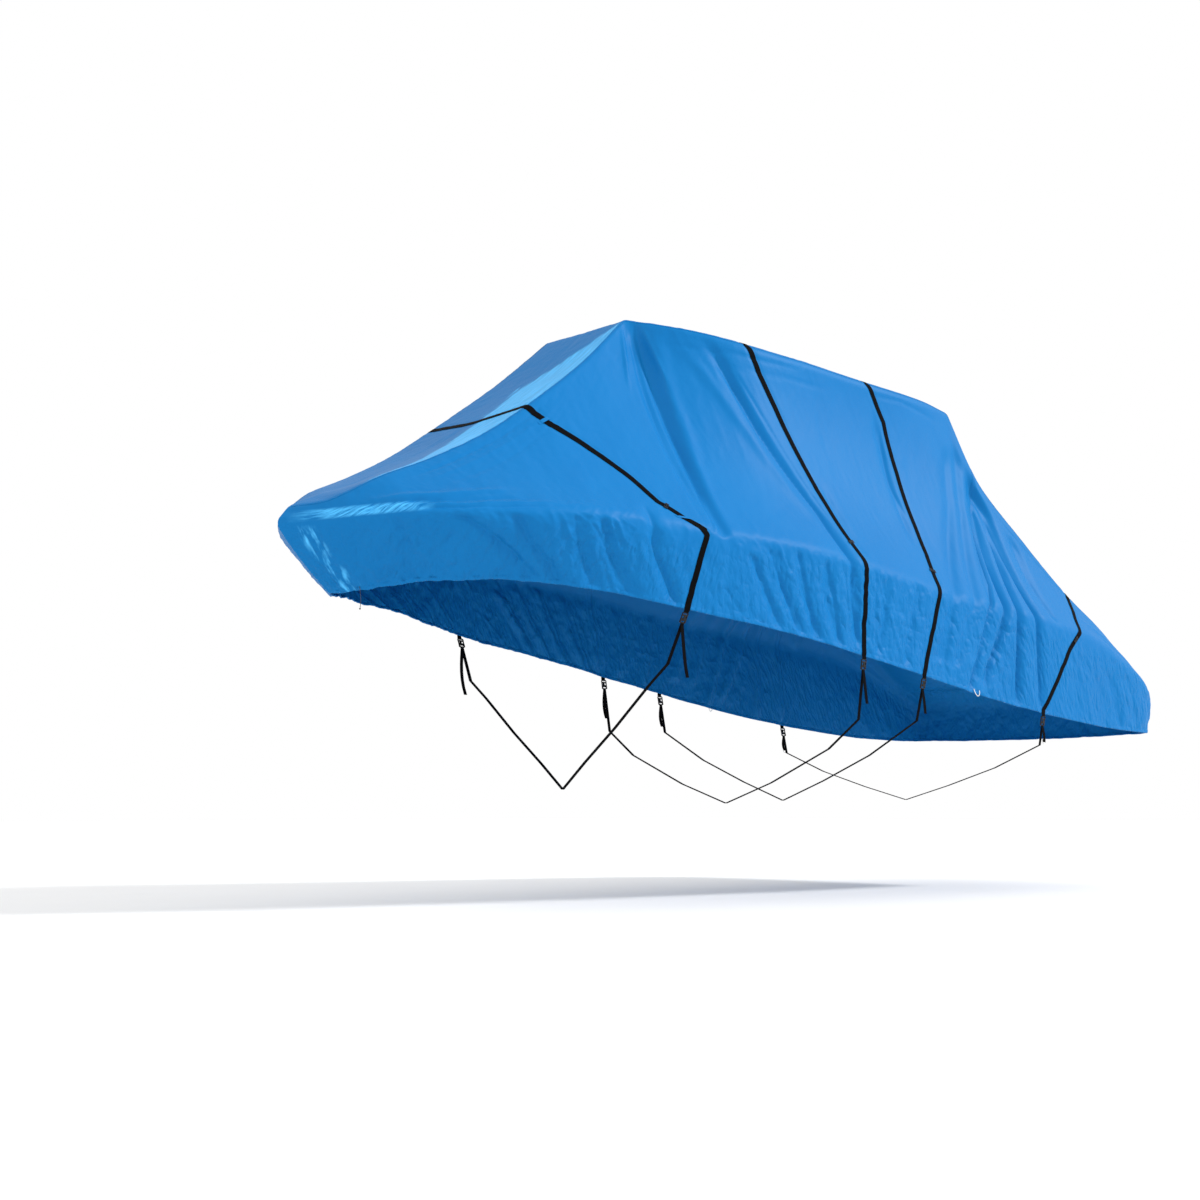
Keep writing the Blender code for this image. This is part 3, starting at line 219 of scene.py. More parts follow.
# The crumpled bow: height, size, where it starts and is full along X, its middle and half-width in `across`.
BOW_CRUMPLE, BOW_CRUMPLE_SIZE, BOW_CRUMPLE_LEAN = 0.0050, (0.085, 0.034), 0.25
BOW_CRUMPLE_X, BOW_CRUMPLE_ROWS = (-3.0, -3.6), (1.85, 0.3)
# Crinkles, ridged like crushed cloth: height, length, breadth and turn in degrees. Then where they are
# strong, down the cloth and along X, and their patches: size along and down, least height and its change.
CRINKLES = ((0.0046, 0.16, 0.055, 60), (0.0038, 0.11, 0.042, -55), (0.0026, 0.060, 0.034, 20))
CRINKLE_SLOPE, CRINKLE_SKIRT, CRINKLE_TOP, CRINKLE_SOFT = 0.22, 1.0, 1.97, 0.12
CRINKLE_X = ((-3.9, 1.2), (-3.3, 1.5), (-2.4, 1.15), (-1.4, 1.0), (-0.6, 0.6), (2.2, 0.5), (2.6, 0.9))
CRINKLE_PATCHES, CRINKLE_BIAS = (0.45, 0.5, 0.65, 0.5), 0.6
# The gathers at the hem and the stern: height, size, how fast they change down the cloth, and their place.
HEM_GATHER, HEM_GATHER_SIZE, HEM_GATHER_RATE, HEM_GATHER_REACH = 0.0022, 0.060, 0.7, 0.16
STERN_GATHER, STERN_GATHER_SIZE, STERN_GATHER_RATE, STERN_GATHER_TURN = 0.0060, 0.055, 0.9, 0.8
STERN_GATHER_X, STERN_GATHER_ROWS = (2.2, 2.5), (2.2, 0.8)
SLACK_SEED, CRINKLE_SEED, HEM_SEED, STERN_SEED, BOW_SEED, PATCH_SEED = 10, 31, 51, 61, 71, 91
# The noise itself: what its places and its seed are multiplied by.
HASH_I, HASH_J, HASH_SEED, HASH_SCALE = 127.1, 311.7, 74.7, 43758.5453

# The fine mesh. Its columns are this far apart along the gunwale, by x, and each leg of `across` has this
# many rows, which crowd towards its ends.
COLUMN_PITCH = ((-4.1, 0.013), (-3.8, 0.0098), (2.4, 0.0098), (2.65, 0.017))
TOP_ROWS, SLOPE_ROWS, SKIRT_ROWS, RIDGE_CROWD = 34, 66, 30, 0.25
LINE_SAMPLES, SHORTEST_LEG = 8000, 0.05
# The sewn casing: its depth, how far it stands out, and how far round it goes, in half turns. Then the rows
# near the hem, in casings from it, and the cloth's turn under the hem and its run back up inside.
CASING, CASING_PUFF, CASING_ROUND = 0.024, 0.0024, 0.75
CASING_ROWS = (1.25, 1.0, 0.92, 0.75, 0.5, 0.25, 0.08)
HEM_RADIUS, HEM_TURN_STEPS, HEM_RETURN, HEM_CLOSE = 0.0042, 7, 0.022, 0.9
HEM_RETURN_ROWS = (0.33, 0.66, 1.0)
# How the sharp sections are softened, in section numbers, and the weights that do it.
CORNER_SOFTNESS, CORNER_REACH = 0.035, 0.16
CORNER_TAPS = ((-2, 1), (-1, 4), (0, 6), (1, 4), (2, 1))

# The straps: name, path (across, x), and the rows of the slide bar and of the belt loops.
STRAPS = (
    ("strap_1",
     ((0.0, -2.94), (1.0, -2.895), (1.17, -2.825), (1.5, -2.60), (1.7, -2.465), (1.86, -2.385),
      (1.955, -2.265), (2.0, -2.155), (2.08, -2.125), (2.4, -2.15), (3.0, -2.185)),
     1.89, (1.16, 1.955)),
    ("strap_2",
     ((0.0, -1.40), (1.0, -1.375), (1.13, -1.29), (1.26, -1.19), (1.5, -1.03), (1.7, -0.915),
      (1.85, -0.85), (2.0, -0.79), (3.0, -0.76)),
     1.89, ()),
    ("strap_3",
     ((0.0, -0.28), (1.0, -0.26), (1.17, -0.10), (1.4, -0.025), (1.65, 0.02), (1.8, 0.02),
      (2.0, -0.04), (2.5, -0.11), (3.0, -0.185)),
     1.89, ()),
    ("strap_4",
     ((0.0, 1.70), (1.0, 1.76), (1.5, 1.73), (2.0, 1.655), (2.24, 1.51), (2.84, 1.25), (3.0, 1.18)),
     2.11, ()),
)
STRAPPED_SECTIONS = ("bow_rail", "corner")
OVER_WIDTH, WEBBING, STRAP_LIFT = 0.038, 0.0022, 0.0009
# How deep a strap presses the cloth, how far from its middle, and how softly that ends.
STRAP_PRESS, STRAP_REACH, STRAP_BLEND = 0.0025, 0.052, 0.028
STRAP_PITCH, STRAP_SAMPLES = 0.010, 160
LATERAL = (-1.0, -0.93, -0.45, 0.0, 0.45, 0.93, 1.0)
# How far to each side a band's level direction is taken, the least that it counts as lying square to the band
# and along X, and the share along X past which a block's longest axis is the one across the strap.
LEVEL_STEP, LEAST_SQUARE, LEAST_LEVEL, MOSTLY = 0.01, 0.5, 0.6, 0.7
# A strap's rows between the hem and its buckle.
END_SHARES = (0.35, 0.7, 1.0)
# The angles in degrees past which the edges of a band and of a plate stay hard, the steps of a plate's round
# corner, and how far a band's edges drop, as a share of its thickness.
SLAB_EDGE, PLATE_EDGE, CORNER_STEPS, SLAB_EDGE_DROP = 42, 35, 5, 0.25

# The buckles and slide bars. An outline is its length, width, corner radius and place along the moulding, and
# a plate is its thickness and the bevel of its edges.
BUCKLE_LENGTH, BUCKLE_WIDTH, BUCKLE_CORNER, BUCKLE_WAIST = 0.066, 0.048, 0.008, 0.0015
BUCKLE_OPENINGS = (
    (0.007, 0.040, 0.0025, -0.0235), (0.014, 0.034, 0.004, -0.004), (0.008, 0.030, 0.003, 0.0225),
)
BUCKLE_ENTRY, BUCKLE_STRAP_LIFT, FOOT_LIFT = 0.40, 0.0005, 0.003
TONGUE_SIZE, TONGUE_LIFT, TONGUE_DOWN = (0.030, 0.016, 0.004), 0.0040, 0.001
BUCKLE_PLATE, TONGUE_PLATE, KEEPER_PLATE = (0.0085, 0.0016), (0.0045, 0.0012), (0.0038, 0.0010)
KEEPER_OUTLINES = ((0.024, 0.056, 0.004), (0.0052, 0.0405, 0.0018, -0.0058), (0.0052, 0.0405, 0.0018, 0.0058))
KEEPER_LIFT = 0.0022

# The sewn belt loops: the profile's distance past the strap's edge and its lift; and the seams.
LOOP_PROFILE = ((0.016, 0.0004), (0.009, 0.0006), (0.0045, 0.0012), (0.0022, 0.0040), (-0.002, 0.0056),
                (-0.011, 0.0060))
LOOP_HALF, LOOP_THICK, LOOP_STEP, LOOP_SHARES = 0.012, 0.0016, 0.02, (-1, -0.5, 0, 0.5, 1)
SEAM_LIFT, SEAM_THICK, SEAM_EDGE_DROP = 0.0006, 0.0012, 0.7
SEAM_LATERAL, SEAM_DROOP = (-1.0, -0.85, 0.0, 0.85, 1.0), (1.0, 0.7, 0.0, 0.7, 1.0)
RIDGE_SEAM_WIDTH, RIDGE_RADIUS = 0.014, 0.05
SIDE_SEAM_PATH = (
    (1.02, 0.90), (1.26, 0.885), (1.68, 0.715), (1.88, 0.645), (2.04, 0.525), (2.34, 0.465), (2.96, 0.325),
)
SIDE_SEAM_SPAN, SIDE_SEAM_WIDTH = (1.02, 2.94), 0.016
# The panels' area over the area that they are cut to.
TOP_STRETCH, SIDE_STRETCH = 1.02, 1.03

# The cords. The hem cord's route is how far aft and how far down each point lies.
CORD_POINTS, CORD_RADIUS, CORD_GAP = 40, 0.0025, 0.0030
HEM_CORD_ROWS = (2.965, 2.995)
HEM_CORD_ROUTE = (
    (-0.029, -0.004), (-0.025, 0.010), (-0.016, 0.027), (-0.004, 0.040),
    (0.007, 0.043), (0.018, 0.036), (0.026, 0.022), (0.028, 0.004),
)
BOW_CORD_RADIUS, BOW_CORD_GROUPS = 0.0016, 24
BOW_KNOT_RADIUS, BOW_KNOT_SHARE, BOW_KNOT_TOP, BOW_KNOT_POINTS = 0.005, 0.36, 0.004, 60

# The cloth's colours, its bumps (strength and depth), its weave and its stitches.
CLOTH_BLUE, CLOTH_BLUE_WORN = (0.0030, 0.138, 0.385), (0.0050, 0.156, 0.415)
# The first colour below is a painted highlight: glare on the cloth, painted as a paler blue.
CLOTH_PAINTED_HIGHLIGHT, THREAD_BLUE = (0.075, 0.440, 0.840), (0.010, 0.090, 0.300)
CRINKLE_BUMP, CRUSH_BUMP = (0.20, 0.0035), (0.9, 0.036)
WEAVE_BUMP, THREAD_BUMP = (0.22, 0.0003), (0.6, 0.0006)
CRUSH_SCALE, CRUSH_DETAIL, CRUSH_LAYERS = (9.0, 6.0), (1.0, 0.5), ((1.0, 1.0), (2.1, 0.45), (4.3, 0.10))
WEAVE_SCALE = 175.0
# Its grain (scale, detail and roughness), and the ranges of its fading, its roughness and both in flecks.
CLOTH_PATCHES, CLOTH_FLECKS, CLOTH_CRINKLES = (2.3, 4.0), (260.0, 2.0), (38.0, 5.0, 0.6)
CLOTH_PLAIN_ROUGH, CLOTH_SHINE = 0.50, 0.07
CLOTH_FADE, CLOTH_FLECK_FADE = (-0.3, 0.95), (-0.25, 0.25)
CLOTH_ROUGH, CLOTH_FLECK_ROUGH = (0.42, 0.54), (-0.05, 0.05)
STITCH_PITCH, STITCH_SHARE, STITCH_ROW, THREAD_HALF = 0.0042, 0.72, 0.0045, 0.0007
# The other materials: a plain colour, roughness and shader values, which the signals then take over; the worn
# colours, the range of roughness, and the bump's strength and depth; and the scales of what is in them.
WEBBING_LOOK = ((0.002, 0.002, 0.002), 0.85, {"Specular_IOR_Level": 0.03})
WEBBING_WORN = (((0.0010, 0.0010, 0.0012), (0.0040, 0.0040, 0.0045)), (0.62, 0.82), (0.5, 0.0005))
RIB_SCALE, PICK_SCALE, PICK_DUST, PICK_HEIGHT, WEBBING_DUST = 130.0, 105.0, 0.55, 0.6, (34.0, 4.0)
PLASTIC_LOOK = ((0.006, 0.006, 0.007), 0.50, {"Specular_IOR_Level": 0.16})
PLASTIC_WORN = (((0.004, 0.004, 0.0045), (0.014, 0.014, 0.015)), (0.32, 0.52), (0.15, 0.0002))
PLASTIC_SCUFF, PLASTIC_GRAIN = (90.0, 5.0, 0.7), (1400.0, 2.0)
CORD_LOOK, CORD_WORN = (0.62, {"Sheen_Weight": 0.15, "Sheen_Roughness": 0.5}), ((0.75, 0.55), (0.6, 0.0005))
CORD_CROSSING = 0.9
# A braid's name, its own colour, the darker colour painted as shade in its grooves, and its scale.
WHITE_BRAID = ("white_braid", (0.80, 0.80, 0.78), (0.55, 0.55, 0.53), 220.0)
BLACK_BRAID = ("black_braid", (0.020, 0.020, 0.022), (0.006, 0.006, 0.007), 260.0)
STEEL_LOOK, STEEL_GRAIN = ((0.70, 0.70, 0.69), 0.28, {"Metallic": 1.0}), (300.0, 4.0)
STEEL_WORN = (((0.58, 0.58, 0.57), (0.78, 0.78, 0.77)), (0.20, 0.38), (0.1, 0.0002))
FLOOR_LOOK, FLOOR_GRAIN = ((0.86, 0.86, 0.86), 0.9, {}), 1.5
FLOOR_TINTS = ((0.85, 0.85, 0.85), (0.88, 0.88, 0.88))
# Painted highlights, glare on the cloth painted into its colour as a paler blue: where the strip by the port
# ridge ends along X, how fast it widens, and how wide it is; the strip over the bow's gunwale; and the strip up
# the stem. All in metres from the part's origin.
STRIP_TIP, STRIP_END, STRIP_FLARE, STRIP_TAPER, STRIP_WIDTH = -1.36, -3.30, 0.85, 0.42, 0.46
STRIP_SHARPNESS = 26.0
RAIL_X, RAIL_Z, RAIL_RISE, RAIL_HALF = (-3.42, -3.18), -1.335, 0.10, 0.018
RAIL_SOFT, RAIL_END_SOFT = 0.016, 0.14
STEM_Y, STEM_Z, STEM_HALF, STEM_SOFT = -0.12, (-1.74, -1.42), 0.030, 0.03
# The streaks in them: scale along and down the cloth, detail and roughness of the noise, and its range.
STRIP_RAG = ((1.6, 9.0), (5.0, 0.62), (-0.34, 0.34))
STRIP_STREAKS = ((3.2, 34.0), (6.0, 0.66), (0.02, 1.55))
RAIL_STREAKS = ((9.0, 70.0), (5.0, 0.62), (-1.7, 2.9))
STEM_FLECKS = ((22.0, 6.0), (3.0, 0.55), (-2.6, 2.7))
# The gunwale's line, below which the cloth is crushed: its height, where and how fast it falls aft.
GUNWALE_Z, GUNWALE_FALL_X, GUNWALE_FALL, GUNWALE_SOFT = -1.37, -0.2, 0.13, 0.08

# The camera, the floor, and the lights: a sun's name, strength, angle in degrees and where it shines from.
CAMERA_PLACE = (-8.464, -7.7925, -2.889)
CAMERA_TURN = (math.radians(96.93), 0.0, math.radians(-42.82))
CAMERA_LENS, CAMERA_SENSOR, CAMERA_REACH = 51.405, 36.0, 200.0
FLOOR_Z, FLOOR_HALF = -3.465, 60.0
SKY = 1.0
SUNS = (("key_sun", 2.7, 7, (0.60, -0.60, 0.52)), ("fill_sun", 0.6, 25, (-0.80, -0.40, 0.35)))


def column(name):
    """The values of one column of SECTIONS, as an array."""
    index = SECTION_COLUMNS.index(name)
    return np.array([row[index] for row in SECTIONS])


def section_number(name):
    return [row[0] for row in SECTIONS].index(name)


def spline(values, at):
    """A smooth curve through a column of SECTIONS that doesn't overshoot, and is sharp at CORNER_SECTIONS."""
    steps = np.diff(values)
    inner = np.where(steps[:-1] * steps[1:] > 0, 2 * steps[:-1] * steps[1:], 0.0)
    inner = inner / np.where(inner > 0, steps[:-1] + steps[1:], 1.0)
    leaving = np.concatenate([steps[:1], inner, steps[-1:]])
    arriving = leaving.copy()
    for name in CORNER_SECTIONS:
        corner = section_number(name)
        leaving[corner] = steps[corner]
        arriving[corner] = steps[corner - 1]
    low = np.clip(np.floor(at).astype(int), 0, len(values) - 2)
    t = at - low
    start, end = values[low], values[low + 1]
    from_slope, to_slope = leaving[low], arriving[low + 1]
    cubic = 2 * t**3 - 3 * t**2
    leave = from_slope * (t**3 - 2 * t**2 + t)
    arrive = to_slope * (t**3 - t**2)
    return start * (1 + cubic) - end * cubic + leave + arrive


def curve(letter, at):
    """The point of the centreline (s), ridge (r), gunwale (k) or hem (h) at section numbers `at`."""
    y = np.zeros_like(at) if letter == "s" else spline(column(letter + "y"), at)
    return np.stack([spline(column(letter + "x"), at), y, spline(column(letter + "z"), at)], axis=-1)


def base_surface(at, across):
    """Points of the smooth cover: `across` runs 0 centreline, 1 ridge, 2 gunwale, 3 hem."""
    at, across = np.broadcast_arrays(np.asarray(at, float), np.asarray(across, float))
    spine, ridge, knuckle, hem = (curve(letter, at) for letter in "srkh")
    drop = knuckle - ridge
    level = np.linalg.norm(drop[..., :2], axis=-1)
    length = np.linalg.norm(drop, axis=-1)
    outward = np.zeros_like(drop)
    outward[..., :2] = drop[..., :2] / np.maximum(level, LEAST_RUN)[..., None]
    inward = outward * (drop[..., 2] / length)[..., None]
    inward[..., 2] -= level / length
    sag = spline(column("sag"), at)
    bulge = spline(column("bulge"), at)

    def top(t):
        return spine + (ridge - spine) * t[..., None]

    def slope(t):
        hang = sag * 4 * t * (1 - t)
        return ridge + drop * t[..., None] + inward * hang[..., None]

    def skirt(t):
        return knuckle + (hem - knuckle) * t[..., None] + outward * (bulge * 4 * t * (1 - t))[..., None]

    def rounded(before, after, t, width_before, width_after):
        """A corner at t = 0 between two legs, turned along a parabola. t runs -1 to 1 over it."""
        start = before(1 - width_before)
        middle = before(np.ones_like(width_before))
        end = after(width_after)
        u = ((t + 1) / 2)[..., None]
        return start * (1 - u) ** 2 + 2 * middle * u * (1 - u) + end * u**2

    ridge_round = spline(column("rr"), at)
    knuckle_round = spline(column("kr"), at)
    top_part = np.minimum(MOST_OF_TOP, ridge_round / np.linalg.norm(ridge - spine, axis=-1))
    slope_part = np.minimum(MOST_OF_LEG, ridge_round / length)
    low_part = np.minimum(MOST_OF_LEG, knuckle_round / length)
    skirt_part = np.minimum(MOST_OF_LEG, knuckle_round / np.linalg.norm(hem - knuckle, axis=-1))
    leg = np.clip(across, 0, 3)
    points = np.where((leg < 1)[..., None], top(np.clip(leg, 0, 1)), slope(np.clip(leg - 1, 0, 1)))
    points = np.where((leg > 2)[..., None], skirt(np.clip(leg - 2, 0, 1)), points)
    for corner, before, after, before_part, after_part in (
        (1, top, slope, top_part, slope_part),
        (2, slope, skirt, low_part, skirt_part),
    ):
        offset = leg - corner
        turn = np.where(offset < 0, offset / before_part, offset / after_part)
        near = np.abs(turn) < 1
        bend = rounded(before, after, np.clip(turn, -1, 1), before_part, after_part)
        points = np.where(near[..., None], bend, points)
    return points


def ease(t):
    t = np.clip(t, 0, 1)
    return t * t * (3 - 2 * t)


def unit(vectors):
    return vectors / np.maximum(np.linalg.norm(vectors, axis=-1, keepdims=True), LEAST_LENGTH)


def read_off(at, table):
    """The values at these places of a table whose rows are (place, value)."""
    places, values = zip(*table)
    return np.interp(at, places, values)


def lattice(i, j, seed):
    """A fixed value from -1 to 1 for each whole-numbered place."""
    value = np.sin(i * HASH_I + j * HASH_J + seed * HASH_SEED) * HASH_SCALE
    return 2 * (value - np.floor(value)) - 1


def noise(u, v, seed):
    """Smooth noise from about -1 to 1 over a plane."""
    i, j = np.floor(u), np.floor(v)
    s, t = ease(u - i), ease(v - j)
    low = lattice(i, j, seed) * (1 - s) + lattice(i + 1, j, seed) * s
    high = lattice(i, j + 1, seed) * (1 - s) + lattice(i + 1, j + 1, seed) * s
    return low * (1 - t) + high * t


def side_change(side):
    """How far aft this side's creases are moved, and the share of their depth that they have."""
    return (0.0, 1.0) if side == PORT else (STARBOARD_SHIFT, STARBOARD_SHARE)


def fold_height(x, across, side):
    """How far the folds and creases push the cloth out."""
    height = np.zeros_like(x)
    aft, share = side_change(side)
    rows = [(port if side == PORT else starboard, width, path, 0.0) for port, starboard, width, path in FOLDS]
    rows += [(depth * share, width, path, aft) for depth, width, path in CREASES]
    for depth, width, path, shift in rows:
        middle = read_off(across, path) + shift
        grown = ease((across - path[0][0]) / FOLD_FADE_TOP + FOLD_START)
        fade = grown * ease((path[-1][0] - across) / FOLD_FADE_FOOT + FOLD_START)
        height += depth * fade * np.exp(-(((x - middle) / width) ** 2))
    return height


def long_crease_height(x, across, length, side):
    """The creases that run fore and aft. `length` is metres of cloth to one unit of `across`."""
    height = np.zeros_like(x)
    aft, share = side_change(side)
    for depth, width, path in LONG_CREASES:
        moved = [(station + aft, row) for station, row in path]
        fore_end, aft_end = moved[0][0], moved[-1][0]
        fade = ease((x - fore_end) / LONG_CREASE_FADE) * ease((aft_end - x) / LONG_CREASE_FADE)
        height += share * depth * fade * np.exp(-(((across - read_off(x, moved)) * length / width) ** 2))
    return height


def ripple_height(x, y, across, side):
    run = x + RIPPLE_TURN * np.abs(y)
    waves = sum(share * np.sin(rate * run + phase + shift * side) for rate, share, phase, shift in RIPPLES)
    return RIPPLE_HEIGHT * waves * ease((across - RIPPLE_TOP) / RIPPLE_SPAN)


def crinkle_height(run, across, down, side):
    """Short sharp creases, all over the skirt and faint above it."""
    height = np.zeros_like(run)
    for number, (high, long, short, turn) in enumerate(CRINKLES):
        c, s = math.cos(math.radians(turn)), math.sin(math.radians(turn))
        u, v = (run * c + down * s) / long, (down * c - run * s) / short
        height += high * (CRINKLE_BIAS - 2 * np.abs(noise(u, v, CRINKLE_SEED + 3 * number + side)))
    wide, tall, base, share = CRINKLE_PATCHES
    patches = base + share * noise(run / wide, down / tall, PATCH_SEED + side)
    fade = ease((across - CRINKLE_TOP) / CRINKLE_SOFT)
    return height * (CRINKLE_SLOPE + (CRINKLE_SKIRT - CRINKLE_SLOPE) * fade) * patches


def slack_height(x, y, across, length, down, side):
    """The small unevenness of cloth that lies loose, and its gathers at the hem and the bow."""
    run = x + RIPPLE_TURN * np.abs(y)
    height = crinkle_height(run, across, down, side)
    height *= read_off(x, CRINKLE_X)
    for number, (high, wide, tall, lean, first, last, soft) in enumerate(SLACK):
        uneven = noise((run - lean * down) / wide, down / tall, SLACK_SEED * number + side)
        height += high * uneven * ease((across - first) / soft) * ease((last - across) / soft)
    wide, tall = BOW_CRUMPLE_SIZE
    crumple = noise(run / wide, (down + BOW_CRUMPLE_LEAN * run) / tall, BOW_SEED + side)
    fore = ease((x - BOW_CRUMPLE_X[0]) / (BOW_CRUMPLE_X[1] - BOW_CRUMPLE_X[0]))
    row, span = BOW_CRUMPLE_ROWS
    height += BOW_CRUMPLE * crumple * fore * np.exp(-(((across - row) / span) ** 2))
    to_hem = ease(1 - (3 - across) * length / HEM_GATHER_REACH)
    gather = noise(run / HEM_GATHER_SIZE, across * HEM_GATHER_RATE, HEM_SEED + side)
    height += HEM_GATHER * gather * to_hem
    aft = ease((x - STERN_GATHER_X[0]) / (STERN_GATHER_X[1] - STERN_GATHER_X[0]))
    around = (np.abs(y) + STERN_GATHER_TURN * x) / STERN_GATHER_SIZE
    bunch = noise(around, across * STERN_GATHER_RATE, STERN_SEED + side)
    top, soft = STERN_GATHER_ROWS
    height += STERN_GATHER * bunch * aft * ease((across - top) / soft)
    return height


def relief(x, y, across, length, down, side):
    height = fold_height(x, across, side) + long_crease_height(x, across, length, side)
    return height + ripple_height(x, y, across, side) + slack_height(x, y, across, length, down, side)


def cloth_height(x, y, across, length, down, side):
    """The whole relief: under a strap the cloth is pressed flat across the strap's width."""
    height = relief(x, y, across, length, down, side)
    for _, path, _, _ in STRAPS:
        middle = read_off(across, path)
        near = ease((STRAP_REACH - np.abs(x - middle)) / STRAP_BLEND)
        flat = relief(middle, y, across, length, down, side)
        height += near * (flat - STRAP_PRESS - height)
    return height


def soft_surface(at, across):
    """The smooth cover, with its sharp sections turned over a tube's radius."""
    near = np.zeros_like(at)
    for name in CORNER_SECTIONS:
        near = np.maximum(near, 1 - np.abs(at - section_number(name)) / CORNER_REACH)
    step = CORNER_SOFTNESS * ease(near)
    last = len(SECTIONS) - 1
    total = sum(share for _, share in CORNER_TAPS)
    moved = [(np.clip(at + k * step, 0, last), share) for k, share in CORNER_TAPS]
    return sum(base_surface(place, across) * share / total for place, share in moved)


def column_numbers():
    """Section numbers of the fine mesh's columns, from stem to stern."""
    numbers = np.linspace(0, len(SECTIONS) - 1, LINE_SAMPLES)
    line = base_surface(numbers, 2.0)
    steps = np.linalg.norm(np.diff(line, axis=0), axis=1)
    run = np.concatenate([[0], np.cumsum(steps / read_off(line[1:, 0], COLUMN_PITCH))])
    columns = np.interp(np.linspace(0, run[-1], int(run[-1]) + 1), run, numbers)
    for name in CORNER_SECTIONS:
        number = section_number(name)
        columns[np.argmin(np.abs(columns - number))] = number
    return columns


def crowded(count, low, high):
    """Rows from low to high, closer together towards both ends."""
    t = np.linspace(0, 1, count + 1)
    return low + (high - low) * (t - RIDGE_CROWD * np.sin(2 * math.pi * t) / math.pi)


def grid_normals(points):
    """Unit outward normals of a grid [column, row] of the unmirrored side."""
    return unit(np.cross(np.gradient(points, axis=0), np.gradient(points, axis=1)))


class Cloth:
    """One side of the cover as a fine grid [column, row] in the part's frame, and places on it."""

    def __init__(self, side, columns):
        self.side, self.columns = side, columns
        at, across, self.length, down = self.rows(columns)
        self.across = across
        smooth = soft_surface(at, across)
        x, y = smooth[..., 0], smooth[..., 1]
        self.stations = x
        height = cloth_height(x, y, across, self.length, down, side)
        height += self.casing_puff(across)
        points = smooth + grid_normals(smooth) * (height * ease(y / CENTRE_BLEND))[..., None]
        for middle in (points[:, 0], points[0], points[-1]):
            middle[..., 1] = 0.0
        points = np.concatenate([points, self.hem_turn(points)], axis=1)
        mirror = np.array([1, side, 1])
        self.points = points * mirror - ORIGIN
        self.normals = grid_normals(points) * mirror
        self.first_side_row = int(np.argmin(np.abs(across[0] - 1)))

    def rows(self, columns):
        """`at` and `across` of the grid, metres to one unit of `across`, and metres down from the gunwale."""
        legs = [base_surface(columns, np.full_like(columns, k)) for k in range(4)]
        top, slope, skirt = (np.linalg.norm(b - a, axis=-1)[:, None] for a, b in zip(legs, legs[1:]))
        hem_leg = np.maximum(skirt, SHORTEST_LEG)
        upper = np.concatenate([crowded(TOP_ROWS, 0, 1), crowded(SLOPE_ROWS, 1, 2)[1:]])
        last = 3 - CASING * CASING_ROWS[0] / hem_leg
        span = np.linspace(0, 1, SKIRT_ROWS + 1)[1:-1]
        span = span - RIDGE_CROWD * np.sin(math.pi * span) / math.pi * 0.5
        near = 3 - CASING * np.array(CASING_ROWS + (0.0,)) / hem_leg
        across = np.concatenate([np.tile(upper, (len(columns), 1)), 2 + (last - 2) * span, near], axis=1)
        at = np.repeat(columns[:, None], across.shape[1], axis=1)
        length = np.where(across < 1, top, np.where(across < 2, slope, skirt))
        down = np.where(across < 1, (across - 1) * top - slope, (across - 2) * length)
        return at, across, np.maximum(length, SHORTEST_LEG), down

    def casing_puff(self, across):
        """The hem's sewn casing stands out round the cord in it."""
        t = 1 - (3 - across) * self.length / CASING
        return CASING_PUFF * np.where(t > 0, np.sin(math.pi * np.clip(t, 0, 1) * CASING_ROUND), 0.0)

    def hem_turn(self, points):
        """The rows in which the cloth turns under at the hem and runs back up inside."""
        edge = points[:, -1]
        down = unit(edge - points[:, -4])
        out = grid_normals(points)[:, -1]
        down = unit(down - out * (down * out).sum(-1, keepdims=True))
        centre = edge - out * HEM_RADIUS
        made = [
            centre + HEM_RADIUS * (out * math.cos(angle) + down * math.sin(angle))
            for angle in np.linspace(0, math.pi, HEM_TURN_STEPS + 1)[1:]
        ]
        for share in HEM_RETURN_ROWS:
            inner = edge - out * (2 * HEM_RADIUS - share * HEM_CLOSE * HEM_RADIUS)
            made.append(inner - down * HEM_RETURN * share)
        made = np.stack(made, axis=1)
        made[[0, -1], :, 1] = 0.0
        return made

    def column_at(self, x, across):
        """The fractional column where the smooth surface's row `across` passes station x."""
        row = self.row_at(across, len(self.columns) // 2)
        low = int(row)
        share = row - low
        high = min(low + 1, self.stations.shape[1] - 1)
        line = self.stations[:, low] * (1 - share) + self.stations[:, high] * share
        first, last = (int(np.searchsorted(self.columns, section_number(name))) for name in STRAPPED_SECTIONS)
        return float(np.interp(x, line[first:last], np.arange(first, last)))

    def row_at(self, across, column):
        return float(np.interp(across, self.across[int(column)], np.arange(self.across.shape[1])))

    def place(self, x, across):
        """The point and the outward normal at station x and `across`."""
        column = self.column_at(x, across)
        row = self.row_at(across, column)
        i, j = int(min(column, len(self.columns) - 2)), int(min(row, self.points.shape[1] - 2))
        s, t = column - i, row - j
        found = []
        for grid in (self.points, self.normals):
            low = grid[i, j] * (1 - s) + grid[i + 1, j] * s
            high = grid[i, j + 1] * (1 - s) + grid[i + 1, j + 1] * s
            found.append(low * (1 - t) + high * t)
        return found[0], unit(found[1])

    def on_path(self, path, row, offset=0.0):
        """The point and the outward normal on a strap's path, or this far aft of it."""
        return self.place(read_off(row, path) + offset, row)


# ---- Pieces ----

def linked(name, data):
    obj = bpy.data.objects.new(name, data)
    bpy.context.scene.collection.objects.link(obj)
    return obj


def add_piece(name, data):
    """A piece of the object: it rides on the part's body."""
    obj = linked(name, data)
    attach(obj, "root")
    return obj


